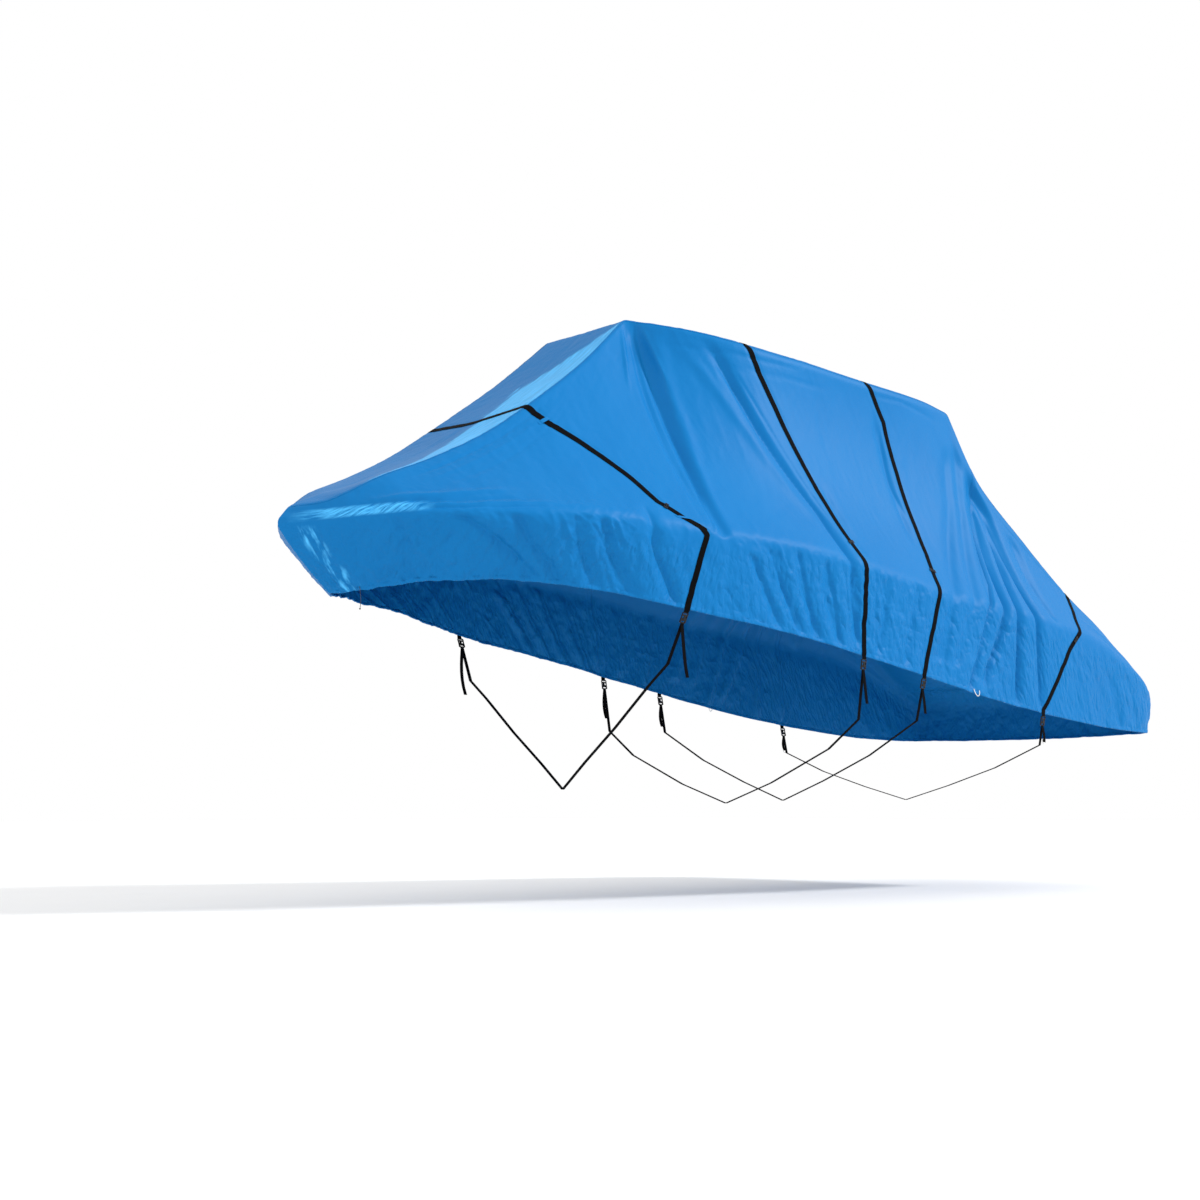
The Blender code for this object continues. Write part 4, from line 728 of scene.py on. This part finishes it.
def add_mesh(name, points, faces, material, uvs, normals=None):
    """A mesh piece with smooth shading. `uvs` and `normals` have one row for each point."""
    mesh = bpy.data.meshes.new(name)
    mesh.from_pydata(points.reshape(-1, 3).tolist(), [], faces.tolist())
    mesh.materials.append(material)
    mesh.shade_smooth()
    corners = np.empty(len(mesh.loops), np.int32)
    mesh.loops.foreach_get("vertex_index", corners)
    mesh.uv_layers.new(name="UVMap").data.foreach_set("uv", np.asarray(uvs, np.float32)[corners].ravel())
    if normals is not None:
        mesh.normals_split_custom_set_from_vertices(normals.reshape(-1, 3).tolist())
    return add_piece(name, mesh)


def arc_lengths(points, axis):
    steps = np.linalg.norm(np.diff(points, axis=axis), axis=-1)
    start = np.zeros_like(np.take(steps, [0], axis=axis))
    return np.concatenate([start, np.cumsum(steps, axis=axis)], axis=axis)


def add_panel(name, points, normals, material, flipped):
    """A panel over a grid [column, row]. Its UV is metres along the gunwale's line and down the cloth."""
    columns, rows = points.shape[:2]
    number = np.arange(columns * rows).reshape(columns, rows)
    a, b, c, d = number[:-1, :-1], number[:-1, 1:], number[1:, 1:], number[1:, :-1]
    faces = np.stack((a, d, c, b) if flipped else (a, b, c, d), axis=-1).reshape(-1, 4)
    along = np.repeat(arc_lengths(points, 0).mean(axis=1)[:, None], rows, axis=1)
    uvs = np.stack([along, arc_lengths(points, 1)], axis=-1).reshape(-1, 2)
    return add_mesh(name, points, faces, material, uvs, normals)


def add_side_panel(cloth, label, material):
    rows = slice(cloth.first_side_row, None)
    flipped = cloth.side == STARBOARD
    return add_panel(f"side_panel_{label}", cloth.points[:, rows], cloth.normals[:, rows], material, flipped)


def add_top_panel(port, starboard, material):
    rows = port.first_side_row
    points, normals = (
        np.concatenate([port_grid[:, rows:0:-1], starboard_grid[:, : rows + 1]], axis=1)
        for port_grid, starboard_grid in ((port.points, starboard.points), (port.normals, starboard.normals))
    )
    middle = port.normals[:, 0] + starboard.normals[:, 0]
    normals[:, rows] = unit(middle * np.array([1, 0, 1]))
    return add_panel("top_panel", points, normals, material, True)


def add_slab(name, points, normals, lift, thickness, material, edge_drop=SLAB_EDGE_DROP):
    """A flat band over a grid [station, place across it], closed all round, with its edges eased down."""
    width = points.shape[1]
    high = points + normals * (lift + thickness)
    high[:, [0, -1]] -= normals[:, [0, -1]] * (edge_drop * thickness)
    ring = np.concatenate([points + normals * lift, high[:, ::-1]], axis=1)
    number = np.arange(ring.shape[0] * ring.shape[1]).reshape(ring.shape[:2])
    following = np.roll(number, -1, axis=1)
    faces = [np.stack([number[:-1], following[:-1], following[1:], number[1:]], axis=-1).reshape(-1, 4)]
    for row, turned in ((number[0], True), (number[-1], False)):
        near, far = row[:width], row[::-1][:width]
        cap = np.stack([near[:-1], near[1:], far[1:], far[:-1]], axis=-1)
        faces.append(cap[:, ::-1] if turned else cap)
    along = arc_lengths(points, 0).mean(axis=1)
    across = arc_lengths(points, 1).mean(axis=0)
    across = across - across[-1] / 2
    v = np.concatenate([across, across[::-1]])
    uvs = np.stack(np.broadcast_arrays(along[:, None], v), axis=-1).reshape(-1, 2)
    made = add_mesh(name, ring, np.concatenate(faces), material, uvs)
    turn_outward(made)
    return made


def turn_outward(obj):
    solid = bmesh.new()
    solid.from_mesh(obj.data)
    bmesh.ops.recalc_face_normals(solid, faces=solid.faces)
    if solid.calc_volume(signed=True) < 0:
        bmesh.ops.reverse_faces(solid, faces=solid.faces)
    solid.to_mesh(obj.data)
    solid.free()
    shade_edges(obj, SLAB_EDGE)


def shade_edges(obj, angle):
    """Smooth shading, with edges sharper than the angle left hard."""
    obj.data.shade_smooth()
    obj.data.set_sharp_from_angle(angle=math.radians(angle))


def strap_stops(cloth, path, first, last):
    """Values of `across` about STRAP_PITCH apart along a strap, between two of them."""
    fine = np.linspace(first, last, STRAP_SAMPLES)
    run = arc_lengths(np.array([cloth.on_path(path, row)[0] for row in fine]), 0)
    count = max(2, int(run[-1] / STRAP_PITCH) + 1)
    return np.interp(np.linspace(0, run[-1], count), run, fine)


def band_grid(cloth, path, stops, width, lateral):
    """Points and normals on the cloth of a band of this width along a path, at shares -1 to 1 across it."""
    centre = np.array([cloth.on_path(path, row)[0] for row in stops])
    tangent = unit(np.gradient(centre, axis=0))
    points, normals = [], []
    for row, run in zip(stops, tangent):
        fore, aft = (cloth.on_path(path, row, offset)[0] for offset in (-LEVEL_STEP, LEVEL_STEP))
        level = unit(aft - fore)
        square = np.linalg.norm(level - run * (level @ run))
        reach = width / 2 / max(square, LEAST_SQUARE)
        found = [cloth.on_path(path, row, share * reach) for share in lateral]
        points.append([point for point, _ in found])
        normals.append([normal for _, normal in found])
    return np.array(points), np.array(normals)


def node_points(node):
    return np.array([vertex.co for vertex in bpy.data.objects[node].data.vertices])


def block_axes(node):
    """The centre and axes (down, across, outward) of a node that is a long block, from its own mesh."""
    points = node_points(node)
    centre = points.mean(axis=0)
    down, across, outward = np.linalg.svd(points - centre, full_matrices=False)[2]
    if abs(down[0]) > MOSTLY:
        down, across = across, down
    down = down * -np.sign(down[2])
    across = across * np.sign(across[0])
    outward = outward * np.sign(outward[1] * np.sign(centre[1]))
    return centre, down, across, outward


def add_over_strap(cloths, name, path, webbing):
    """The strap from buckle to buckle over the cover."""
    points, normals = [], []
    for side, label in SIDES:
        cloth = cloths[side]
        grid, out = band_grid(cloth, path, strap_stops(cloth, path, 0.0, 3.0), OVER_WIDTH, LATERAL)
        centre, down, across, outward = block_axes(f"buckle_{name}_{label}")
        end = centre - down * BUCKLE_LENGTH * BUCKLE_ENTRY + outward * BUCKLE_STRAP_LIFT
        foot, foot_out = grid[-1].mean(axis=0), unit(out[-1].mean(axis=0))
        for share in END_SHARES:
            middle = foot + foot_out * FOOT_LIFT * (1 - share) + (end - foot) * share
            sideways = unit((grid[-1][-1] - grid[-1][0]) * (1 - share) + across * OVER_WIDTH * share)
            row = [middle + sideways * OVER_WIDTH / 2 * place for place in LATERAL]
            grid = np.concatenate([grid, [row]])
            normal = unit(foot_out * (1 - share) + outward * share)
            out = np.concatenate([out, [[normal] * len(LATERAL)]])
        if side == PORT:
            grid, out = grid[::-1][:-1], out[::-1][:-1]
        points.append(grid)
        normals.append(out)
    points, normals = np.concatenate(points), np.concatenate(normals)
    made = add_slab(f"strap_over_{name}", points, normals, STRAP_LIFT, WEBBING, webbing)
    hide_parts(f"over_{name}")


def rounded_outline(length, width, radius, along=0.0, waist=0.0):
    """Points round a rectangle with round corners, drawn in by `waist` at half its length."""
    points = []
    for quadrant, (sx, sy) in enumerate(((1, 1), (-1, 1), (-1, -1), (1, -1))):
        for k in range(CORNER_STEPS + 1):
            angle = math.radians(90 * (quadrant + k / CORNER_STEPS))
            x = sx * (length / 2 - radius) + radius * math.cos(angle)
            points.append((along + x, sy * (width / 2 - radius) + radius * math.sin(angle)))
        if waist and quadrant in (0, 2):
            points.append((along, sy * (width / 2 - waist)))
    return points


def curve_data(name, dimensions, lines, cyclic=False):
    """A curve of straight steps through each line's points."""
    data = bpy.data.curves.new(name, "CURVE")
    data.dimensions = dimensions
    for line in lines:
        spline_data = data.splines.new("POLY")
        spline_data.points.add(len(line) - 1)
        for target, point in zip(spline_data.points, line):
            target.co = (*map(float, point), 1.0)
        spline_data.use_cyclic_u = cyclic
    return data


def add_plate(name, outlines, thick, bevel, centre, axes, material):
    """A flat moulding with openings: the first outline is its rim and the others are its openings."""
    lines = [[(x, y, 0.0) for x, y in line] for line in outlines]
    flat = curve_data(name + "_outline", "2D", lines, cyclic=True)
    flat.fill_mode = "BOTH"
    flat.extrude = thick / 2 - bevel
    flat.bevel_depth = bevel
    flat.bevel_resolution = 2
    flat.offset = -bevel
    helper = linked(name + "_outline", flat)
    mesh = bpy.data.meshes.new_from_object(helper.evaluated_get(bpy.context.evaluated_depsgraph_get()))
    bpy.data.objects.remove(helper)
    bpy.data.curves.remove(flat)
    turn = Matrix([[*row, where] for row, where in zip(np.array(axes).T.tolist(), centre)] + [[0, 0, 0, 1]])
    mesh.transform(turn)
    if turn.determinant() < 0:
        mesh.flip_normals()
    mesh.name = name
    mesh.materials.clear()
    mesh.materials.append(material)
    obj = add_piece(name, mesh)
    shade_edges(obj, PLATE_EDGE)
    return obj


def add_buckle(name, label, plastic):
    """The buckle: a body with an opening for each strap, a window between, and a raised tongue."""
    node = f"buckle_{name}_{label}"
    centre, down, across, outward = block_axes(node)
    axes = (down, across, outward)
    rim = rounded_outline(BUCKLE_LENGTH, BUCKLE_WIDTH, BUCKLE_CORNER, waist=BUCKLE_WAIST)
    holes = [rounded_outline(*opening) for opening in BUCKLE_OPENINGS]
    body = add_plate(f"buckle_body_{name}_{label}", [rim, *holes], *BUCKLE_PLATE, centre, axes, plastic)
    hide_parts(node)
    raised = centre + outward * TONGUE_LIFT + down * TONGUE_DOWN
    tongue = [rounded_outline(*TONGUE_SIZE)]
    add_plate(f"buckle_tongue_{name}_{label}", tongue, *TONGUE_PLATE, raised, axes, plastic)


def add_keeper(cloth, name, path, row, label, plastic):
    """The slide bar on the strap: a flat frame with two slots."""
    node = f"keeper_{name}_{label}"
    _, down, _, _ = block_axes(node)
    place, outward = cloth.on_path(path, row)
    centre = place + outward * (STRAP_LIFT + WEBBING + KEEPER_LIFT)
    down = unit(down - outward * (down @ outward))
    across = np.cross(outward, down)
    across = across * np.sign(across[0])
    outlines = [rounded_outline(*size) for size in KEEPER_OUTLINES]
    axes = (down, across, outward)
    made = add_plate(f"keeper_frame_{name}_{label}", outlines, *KEEPER_PLATE, centre, axes, plastic)
    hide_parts(node)


def add_belt_loop(cloth, path, row, number, label, material):
    """A cloth loop over the strap, with its feet sewn down on both sides of it."""
    half = OVER_WIDTH / 2
    profile = [(-half - past, lift) for past, lift in LOOP_PROFILE]
    profile += [(-offset, lift) for offset, lift in reversed(profile)]
    above, below = (cloth.on_path(path, row + step)[0] for step in (-LOOP_STEP, LOOP_STEP))
    run = unit(below - above)
    level = unit(np.cross(run, cloth.on_path(path, row)[1]))
    level = level * np.sign(level[0])
    stretch = 1 / max(abs(level[0]), LEAST_LEVEL)
    points, normals = [], []
    for offset, lift in profile:
        place, normal = cloth.on_path(path, row, offset * stretch)
        middle = place + normal * lift
        points.append([middle + run * LOOP_HALF * share for share in LOOP_SHARES])
        normals.append([normal] * len(LOOP_SHARES))
    made = add_slab(f"belt_loop_sewn_{number}_{label}", np.array(points), np.array(normals), 0.0, LOOP_THICK,
                    material)
    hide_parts(f"belt_loop_{number}_{label}")


def add_seam_band(name, grid, normals, material):
    add_slab(name, grid, normals, SEAM_LIFT, SEAM_THICK, material, edge_drop=SEAM_EDGE_DROP)


def add_seam(cloth, name, path, first, last, width, material):
    """A sewn seam: a narrow band of the cloth laid along a path."""
    grid, out = band_grid(cloth, path, strap_stops(cloth, path, first, last), width, SEAM_LATERAL)
    add_seam_band(name, grid, out, material)


def add_line_seam(cloth, name, row, width, material):
    """The felled seam along one row of the mesh, from bow to stern, bent over the ridge's radius."""
    middle, normals = cloth.points[:, row], cloth.normals[:, row]
    level = unit(np.cross(normals, unit(np.gradient(middle, axis=0))))
    grid = np.stack([middle + level * width / 2 * share for share in SEAM_LATERAL], axis=1)
    out = np.repeat(normals[:, None], len(SEAM_LATERAL), axis=1)
    droop = np.array(SEAM_DROOP) * width * width / 8 / RIDGE_RADIUS
    grid = grid - out * droop[None, :, None]
    add_seam_band(name, grid[2:-2], out[2:-2], material)


def add_tube(name, points, radius, material):
    line = curve_data(name, "3D", [points])
    line.bevel_depth = radius
    line.bevel_resolution = 4
    line.use_fill_caps = True
    line.materials.append(material)
    return add_piece(name, line)


def smooth_path(points, count):
    """A Catmull-Rom curve through the points."""
    points = np.array(points, float)
    ends = np.concatenate([[2 * points[0] - points[1]], points, [2 * points[-1] - points[-2]]])
    made = []
    for place in np.linspace(0, len(points) - 1, count):
        k = min(int(place), len(points) - 2)
        t = place - k
        p0, p1, p2, p3 = ends[k : k + 4]
        linear = 2 * p1 + (p2 - p0) * t
        square = (2 * p0 - 5 * p1 + 4 * p2 - p3) * t**2
        cube = (3 * p1 - p0 - 3 * p2 + p3) * t**3
        made.append((linear + square + cube) / 2)
    return np.array(made)


def node_middle(node):
    low, high = (np.array(corner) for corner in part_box(node))
    return (low + high) / 2


def add_hem_cord(cloth, label, material):
    """The white cord loop below the long aft seam."""
    node = f"hem_cord_{label}"
    station = node_middle(node)[0] + ORIGIN[0]
    start, end = HEM_CORD_ROWS
    place, out = cloth.place(station, start)
    down = unit(cloth.place(station, end)[0] - place)
    rearward = unit(np.cross(out, down))
    rearward = rearward * np.sign(rearward[0])
    lift = out * (CORD_RADIUS + CORD_GAP)
    points = [place + rearward * aft + down * fall + lift for aft, fall in HEM_CORD_ROUTE]
    line = smooth_path(points, CORD_POINTS)
    made = add_tube(f"hem_cord_braid_{label}", line, CORD_RADIUS, material)
    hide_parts(node)


def add_bow_cord(material):
    """The drawcord's end, which hangs from the bow hem, and its knot."""
    knot_middle = node_middle("bow_cord_knot")
    points = node_points("bow_cord")
    groups = np.array_split(points[np.argsort(-points[:, 2])], BOW_CORD_GROUPS)
    line = smooth_path([group.mean(axis=0) for group in groups], CORD_POINTS)
    line[-1] = knot_middle + np.array([0.0, 0.0, BOW_KNOT_TOP])
    made = add_tube("bow_cord_braid", line, BOW_CORD_RADIUS, material)
    scale = (BOW_KNOT_RADIUS - BOW_CORD_RADIUS) * BOW_KNOT_SHARE
    loop = [
        knot_middle + scale * np.array([
            math.sin(t) + 2 * math.sin(2 * t), -math.sin(3 * t), math.cos(t) - 2 * math.cos(2 * t),
        ])
        for t in np.linspace(0, 2 * math.pi, BOW_KNOT_POINTS)
    ]
    knot = add_tube("bow_cord_tied_knot", loop, BOW_CORD_RADIUS, material)
    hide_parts("bow_cord")
    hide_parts("bow_cord_knot")


# ---- Materials ----

def math_method(operation):
    """A method that does this Math operation on its signal."""
    return lambda *values: maths(values[0].tree, operation, *values)


class Signal:
    """A node's output inside a material. Arithmetic with it adds Math nodes."""

    def __init__(self, tree, socket):
        self.tree, self.socket = tree, socket

    __add__, __sub__, __mul__ = (math_method(name) for name in ("ADD", "SUBTRACT", "MULTIPLY"))
    __truediv__, __lt__, __abs__ = (math_method(name) for name in ("DIVIDE", "LESS_THAN", "ABSOLUTE"))

    def __rsub__(self, other):
        return maths(self.tree, "SUBTRACT", other, self)


def feed(tree, socket, value):
    """Links a signal to the socket, or sets its number or colour."""
    if isinstance(value, Signal):
        tree.links.new(value.socket, socket)
    else:
        socket.default_value = (*value, 1.0) if socket.type == "RGBA" else value


def maths(tree, operation, *values):
    node = tree.nodes.new("ShaderNodeMath")
    node.operation = operation
    for socket, value in zip(node.inputs, values):
        feed(tree, socket, value)
    return Signal(tree, node.outputs[0])


def lesser(first, second):
    return maths(first.tree, "MINIMUM", first, second)


def clamped(value):
    return lesser(maths(value.tree, "MAXIMUM", value, 0.0), 1.0)


def within(value, low, high, soft):
    """A share that is 1 between low and high, and fades out over `soft` beyond them."""
    return clamped(lesser((value - (low - soft)) / soft, (high + soft - value) / soft))


def add_node(tree, kind, output, settings=(), **inputs):
    node = tree.nodes.new(kind)
    for name, value in dict(settings).items():
        setattr(node, name, value)
    for name, value in inputs.items():
        feed(tree, node.inputs[name.replace("_", " ")], value)
    return Signal(tree, node.outputs[output])


def coordinates(tree, kind):
    return add_node(tree, "ShaderNodeTexCoord", kind)


def letters_of(where):
    """The X, Y and Z of a place."""
    node = where.tree.nodes.new("ShaderNodeSeparateXYZ")
    feed(where.tree, node.inputs[0], where)
    return [Signal(where.tree, output) for output in node.outputs]


def grain(where, scale, detail=3.0, roughness=0.55):
    return add_node(where.tree, "ShaderNodeTexNoise", "Fac", Vector=where, Scale=scale, Detail=detail,
                    Roughness=roughness)


def stretched_grain(where, scale, *detail):
    """Noise with its own scale along the cloth and down it."""
    mapped = add_node(where.tree, "ShaderNodeMapping", "Vector", Vector=where, Scale=(*scale, 1.0))
    return grain(mapped, 1.0, *detail)


def wave(where, scale, direction):
    settings = {"wave_type": "BANDS", "bands_direction": direction}
    return add_node(where.tree, "ShaderNodeTexWave", "Fac", settings, Vector=where, Scale=scale)


def spread(value, low, high):
    """A value from 0 to 1 moved to the range low to high."""
    return add_node(value.tree, "ShaderNodeMapRange", "Result", Value=value, To_Min=low, To_Max=high)


def bump(height, strength, distance, **under):
    return add_node(height.tree, "ShaderNodeBump", "Normal", Strength=strength, Distance=distance,
                    Height=height, **under)


def mixed(share, first, second):
    """Two colours, or signals of them, mixed."""
    node = share.tree.nodes.new("ShaderNodeMix")
    node.data_type = "RGBA"
    sockets = [node.inputs["Factor"], *(socket for socket in node.inputs if socket.type == "RGBA")]
    for socket, value in zip(sockets, (share, first, second)):
        feed(share.tree, socket, value)
    return Signal(share.tree, [output for output in node.outputs if output.type == "RGBA"][0])


class Look:
    """A material with one shader, whose plain values are set first and its signals at the end."""

    def __init__(self, name, colour, roughness, **values):
        self.material = bpy.data.materials.new(name)
        self.material.use_nodes = True
        self.tree = self.material.node_tree
        self.finish(Base_Color=colour, Roughness=roughness, **values)

    def finish(self, **values):
        shader = self.tree.nodes["Principled BSDF"]
        for name, value in values.items():
            feed(self.tree, shader.inputs[name.replace("_", " ")], value)
        return self.material

    def wear_and_shade(self, colours, rough, depth, share, wear, height):
        """Its colours by `share`, its roughness by `wear`, and `height` as bump; a cord's darker colour is
        painted shade.
        """
        colour = mixed(share, *colours)
        return self.finish(Base_Color=colour, Roughness=spread(wear, *rough), Normal=bump(height, *depth))


def made_look(name, kind, colour, roughness, values):
    """A new material's coordinates of this kind, and its look."""
    look = Look(name, colour, roughness, **values)
    return coordinates(look.tree, kind), look


def streaks(where, scale, detail, reach):
    """Stretched noise, moved to this range."""
    return spread(stretched_grain(where, scale, *detail), *reach)


def ridge_painted_highlight(where, place):
    """The share of painted highlight in a ragged strip down the fore slope, beside the port ridge."""
    x = place[0]
    limit = lesser(lesser((STRIP_TIP - x) * STRIP_FLARE, (x - STRIP_END) * STRIP_TAPER), STRIP_WIDTH)
    over = limit + streaks(where, *STRIP_RAG) * limit - letters_of(where)[1]
    return clamped(over * STRIP_SHARPNESS) * streaks(where, *STRIP_STREAKS)


def bow_painted_highlights(where, place):
    """The share of painted highlight in the creases over the bow's gunwale and up its stem."""
    x, y, z = place
    level = z - (x - RAIL_X[0]) * RAIL_RISE
    rail = within(level, RAIL_Z - RAIL_HALF, RAIL_Z + RAIL_HALF, RAIL_SOFT)
    rail = rail * within(x, *RAIL_X, RAIL_END_SOFT)
    stem = within(y, STEM_Y - STEM_HALF, STEM_Y + STEM_HALF, STEM_SOFT) * within(z, *STEM_Z, STEM_SOFT)
    return rail * clamped(streaks(where, *RAIL_STREAKS)) + stem * clamped(streaks(where, *STEM_FLECKS))


def skirt_share(place):
    """1 below the gunwale and 0 above it, by the place in space."""
    x, _, z = place
    past = maths(x.tree, "MAXIMUM", x - GUNWALE_FALL_X, 0.0)
    return clamped((GUNWALE_Z - past * GUNWALE_FALL - z) / GUNWALE_SOFT)


def crushed(where):
    """The height of sharp, branching creases, as in cloth that was stuffed in a bag."""
    along, down = CRUSH_SCALE
    height = 0.0
    for scale, share in CRUSH_LAYERS:
        ridges = stretched_grain(where, (along * scale, down * scale), *CRUSH_DETAIL)
        height = abs(ridges - 0.5) * share + height
    return height


def cloth_material(name, stitched=False, painted_highlight=None):
    """Coated polyester: a plain weave, slight fading in patches and a soft sheen, with painted highlights where
    given.
    """
    look = Look(name, CLOTH_BLUE, CLOTH_PLAIN_ROUGH, Specular_IOR_Level=CLOTH_SHINE)
    where = coordinates(look.tree, "UV")
    place = letters_of(coordinates(look.tree, "Object"))
    patches, flecks = grain(where, *CLOTH_PATCHES), grain(where, *CLOTH_FLECKS)
    fading = spread(patches, *CLOTH_FADE) + spread(flecks, *CLOTH_FLECK_FADE)
    colour = mixed(fading, CLOTH_BLUE, CLOTH_BLUE_WORN)
    # Painted highlight: the mask paints glare into the colour as a paler blue.
    if painted_highlight is not None:
        colour = mixed(clamped(painted_highlight(where, place)), colour, CLOTH_PAINTED_HIGHLIGHT)
    normal = bump(grain(where, *CLOTH_CRINKLES), *CRINKLE_BUMP)
    normal = bump(crushed(where) * skirt_share(place), *CRUSH_BUMP, Normal=normal)
    weave = wave(where, WEAVE_SCALE, "X") * wave(where, WEAVE_SCALE, "Y")
    normal = bump(weave, *WEAVE_BUMP, Normal=normal)
    if stitched:
        thread = stitches(where)
        colour, normal = mixed(thread, colour, THREAD_BLUE), bump(thread, *THREAD_BUMP, Normal=normal)
    rough = spread(patches, *CLOTH_ROUGH) + spread(flecks, *CLOTH_FLECK_ROUGH)
    return look.finish(Base_Color=colour, Roughness=rough, Normal=normal)


def stitches(where):
    """Two rows of thread along a seam, from its UV: metres along it and across it."""
    along, across, _ = letters_of(where)
    on_row = abs(abs(across) - STITCH_ROW) < THREAD_HALF
    cycle = maths(where.tree, "FRACT", along * (1 / STITCH_PITCH))
    return on_row * (cycle < STITCH_SHARE)


def webbing_material(name, kind, ribs_along, picks_along):
    """Woven polyester webbing: ribs along it and picks across it, with dust in patches."""
    where, look = made_look(name, kind, *WEBBING_LOOK)
    ribs, picks = wave(where, RIB_SCALE, ribs_along), wave(where, PICK_SCALE, picks_along)
    dust = grain(where, *WEBBING_DUST)
    share = spread(dust, 0.0, 1.0) * spread(picks, PICK_DUST, 1.0)
    return look.wear_and_shade(*WEBBING_WORN, share, dust, ribs + picks * PICK_HEIGHT)


def plastic_material(name):
    """Moulded nylon: a fine grain and paler scuffs."""
    where, look = made_look(name, "Object", *PLASTIC_LOOK)
    scuff = grain(where, *PLASTIC_SCUFF)
    return look.wear_and_shade(*PLASTIC_WORN, scuff, scuff, grain(where, *PLASTIC_GRAIN))


def cord_material(name, light, groove_shade, scale):
    """Braided cord: two crossing diagonal waves, with painted shade, a darker colour, in the grooves."""
    where, look = made_look(name, "Object", light, *CORD_LOOK)
    crossing = wave(where, scale * CORD_CROSSING, "Z")
    braid = maths(look.tree, "MAXIMUM", wave(where, scale, "DIAGONAL"), crossing)
    # Painted shade: where the braid is low, in its grooves, the colour is darker.
    return look.wear_and_shade((groove_shade, light), *CORD_WORN, braid, braid, braid)


def steel_material(name):
    where, look = made_look(name, "Object", *STEEL_LOOK)
    wear = grain(where, *STEEL_GRAIN)
    return look.wear_and_shade(*STEEL_WORN, wear, wear, wear)


def floor_material():
    where, look = made_look("pale_floor", "Object", *FLOOR_LOOK)
    return look.finish(Base_Color=mixed(grain(where, FLOOR_GRAIN), *FLOOR_TINTS))


def dress(node, material):
    """Gives a carried-over node this material."""
    for place in bpy.data.objects[node].material_slots:
        place.material = material


# ---- Light, floor and camera ----

def add_sun(name, strength, angle, source):
    """A sun of this angle in degrees, which shines from the direction of `source`."""
    light = bpy.data.lights.new(name, "SUN")
    light.energy = strength
    light.angle = math.radians(angle)
    z = unit(np.array(source))
    x = unit(np.cross([0.0, 0.0, 1.0], z))
    turn = np.stack([x, np.cross(z, x), z], axis=1).tolist()
    linked(name, light).matrix_world = Matrix([[*row, 0.0] for row in turn] + [[0, 0, 0, 1]])


def add_stage():
    scene = bpy.context.scene
    scene.world = bpy.data.worlds.new("studio")
    scene.world.use_nodes = True
    background = scene.world.node_tree.nodes["Background"]
    background.inputs["Color"].default_value = (1.0, 1.0, 1.0, 1.0)
    background.inputs["Strength"].default_value = SKY
    for sun in SUNS:
        add_sun(*sun)
    mesh = bpy.data.meshes.new("floor")
    corners = ((-1, -1), (1, -1), (1, 1), (-1, 1))
    mesh.from_pydata([(FLOOR_HALF * x, FLOOR_HALF * y, FLOOR_Z) for x, y in corners], [], [(0, 1, 2, 3)])
    mesh.materials.append(floor_material())
    linked("floor", mesh)
    camera = linked("camera", bpy.data.cameras.new("camera"))
    camera.data.lens = CAMERA_LENS
    camera.data.sensor_width = CAMERA_SENSOR
    camera.data.clip_end = CAMERA_REACH
    camera.location = CAMERA_PLACE
    camera.rotation_euler = CAMERA_TURN
    scene.camera = camera
    scene.view_settings.view_transform = "Standard"


def surface_area(obj):
    area = np.empty(len(obj.data.polygons))
    obj.data.polygons.foreach_get("area", area)
    return float(area.sum())


def add_cover(cloths):
    """The cloth panels, with the seams and the hem cords on them."""
    # The top and side panels carry painted highlights, glare painted into the cloth's colour.
    top = add_top_panel(cloths[PORT], cloths[STARBOARD], cloth_material("top_weave", painted_highlight=ridge_painted_highlight))
    side_blue = cloth_material("side_weave", painted_highlight=bow_painted_highlights)
    panels = [add_side_panel(cloths[side], label, side_blue) for side, label in SIDES]
    seam_blue = cloth_material("seam_weave", stitched=True)
    white = cord_material(*WHITE_BRAID)
    for side, label in SIDES:
        cloth = cloths[side]
        add_line_seam(cloth, f"ridge_seam_{label}", cloth.first_side_row, RIDGE_SEAM_WIDTH, seam_blue)
        add_seam(cloth, f"side_seam_{label}", SIDE_SEAM_PATH, *SIDE_SEAM_SPAN, SIDE_SEAM_WIDTH, seam_blue)
        add_hem_cord(cloth, label, white)
    for panel in (top, *panels):
        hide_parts("cover")
    round(surface_area(top) / TOP_STRETCH, 3)
    for panel in panels:
        round(surface_area(panel) / SIDE_STRETCH, 3)


def add_straps(cloths):
    """Each strap over the cover, with what is on it, below it and under the hull."""
    webbing = webbing_material("woven_webbing", "UV", "Y", "X")
    webbing_below = webbing_material("woven_webbing_below", "Object", "X", "Z")
    plastic = plastic_material("moulded_nylon")
    loop_blue = cloth_material("cover_weave")
    for name, path, keeper, loops in STRAPS:
        add_over_strap(cloths, name, path, webbing)
        for side, label in SIDES:
            add_buckle(name, label, plastic)
            add_keeper(cloths[side], name, path, keeper, label, plastic)
            for number, row in enumerate(loops, 1):
                add_belt_loop(cloths[side], path, row, number, label, loop_blue)
            dress(f"tail_{name}_{label}", webbing_below)
        dress(f"belly_{name}", webbing_below)
    for _, label in SIDES:
        dress(f"ring_strap_4_{label}", steel_material(f"ring_steel_{label}"))


def main():
    add_stage()
    columns = column_numbers()
    cloths = {side: Cloth(side, columns) for side, _ in SIDES}
    add_cover(cloths)
    add_straps(cloths)
    add_bow_cord(cord_material(*BLACK_BRAID))


main()
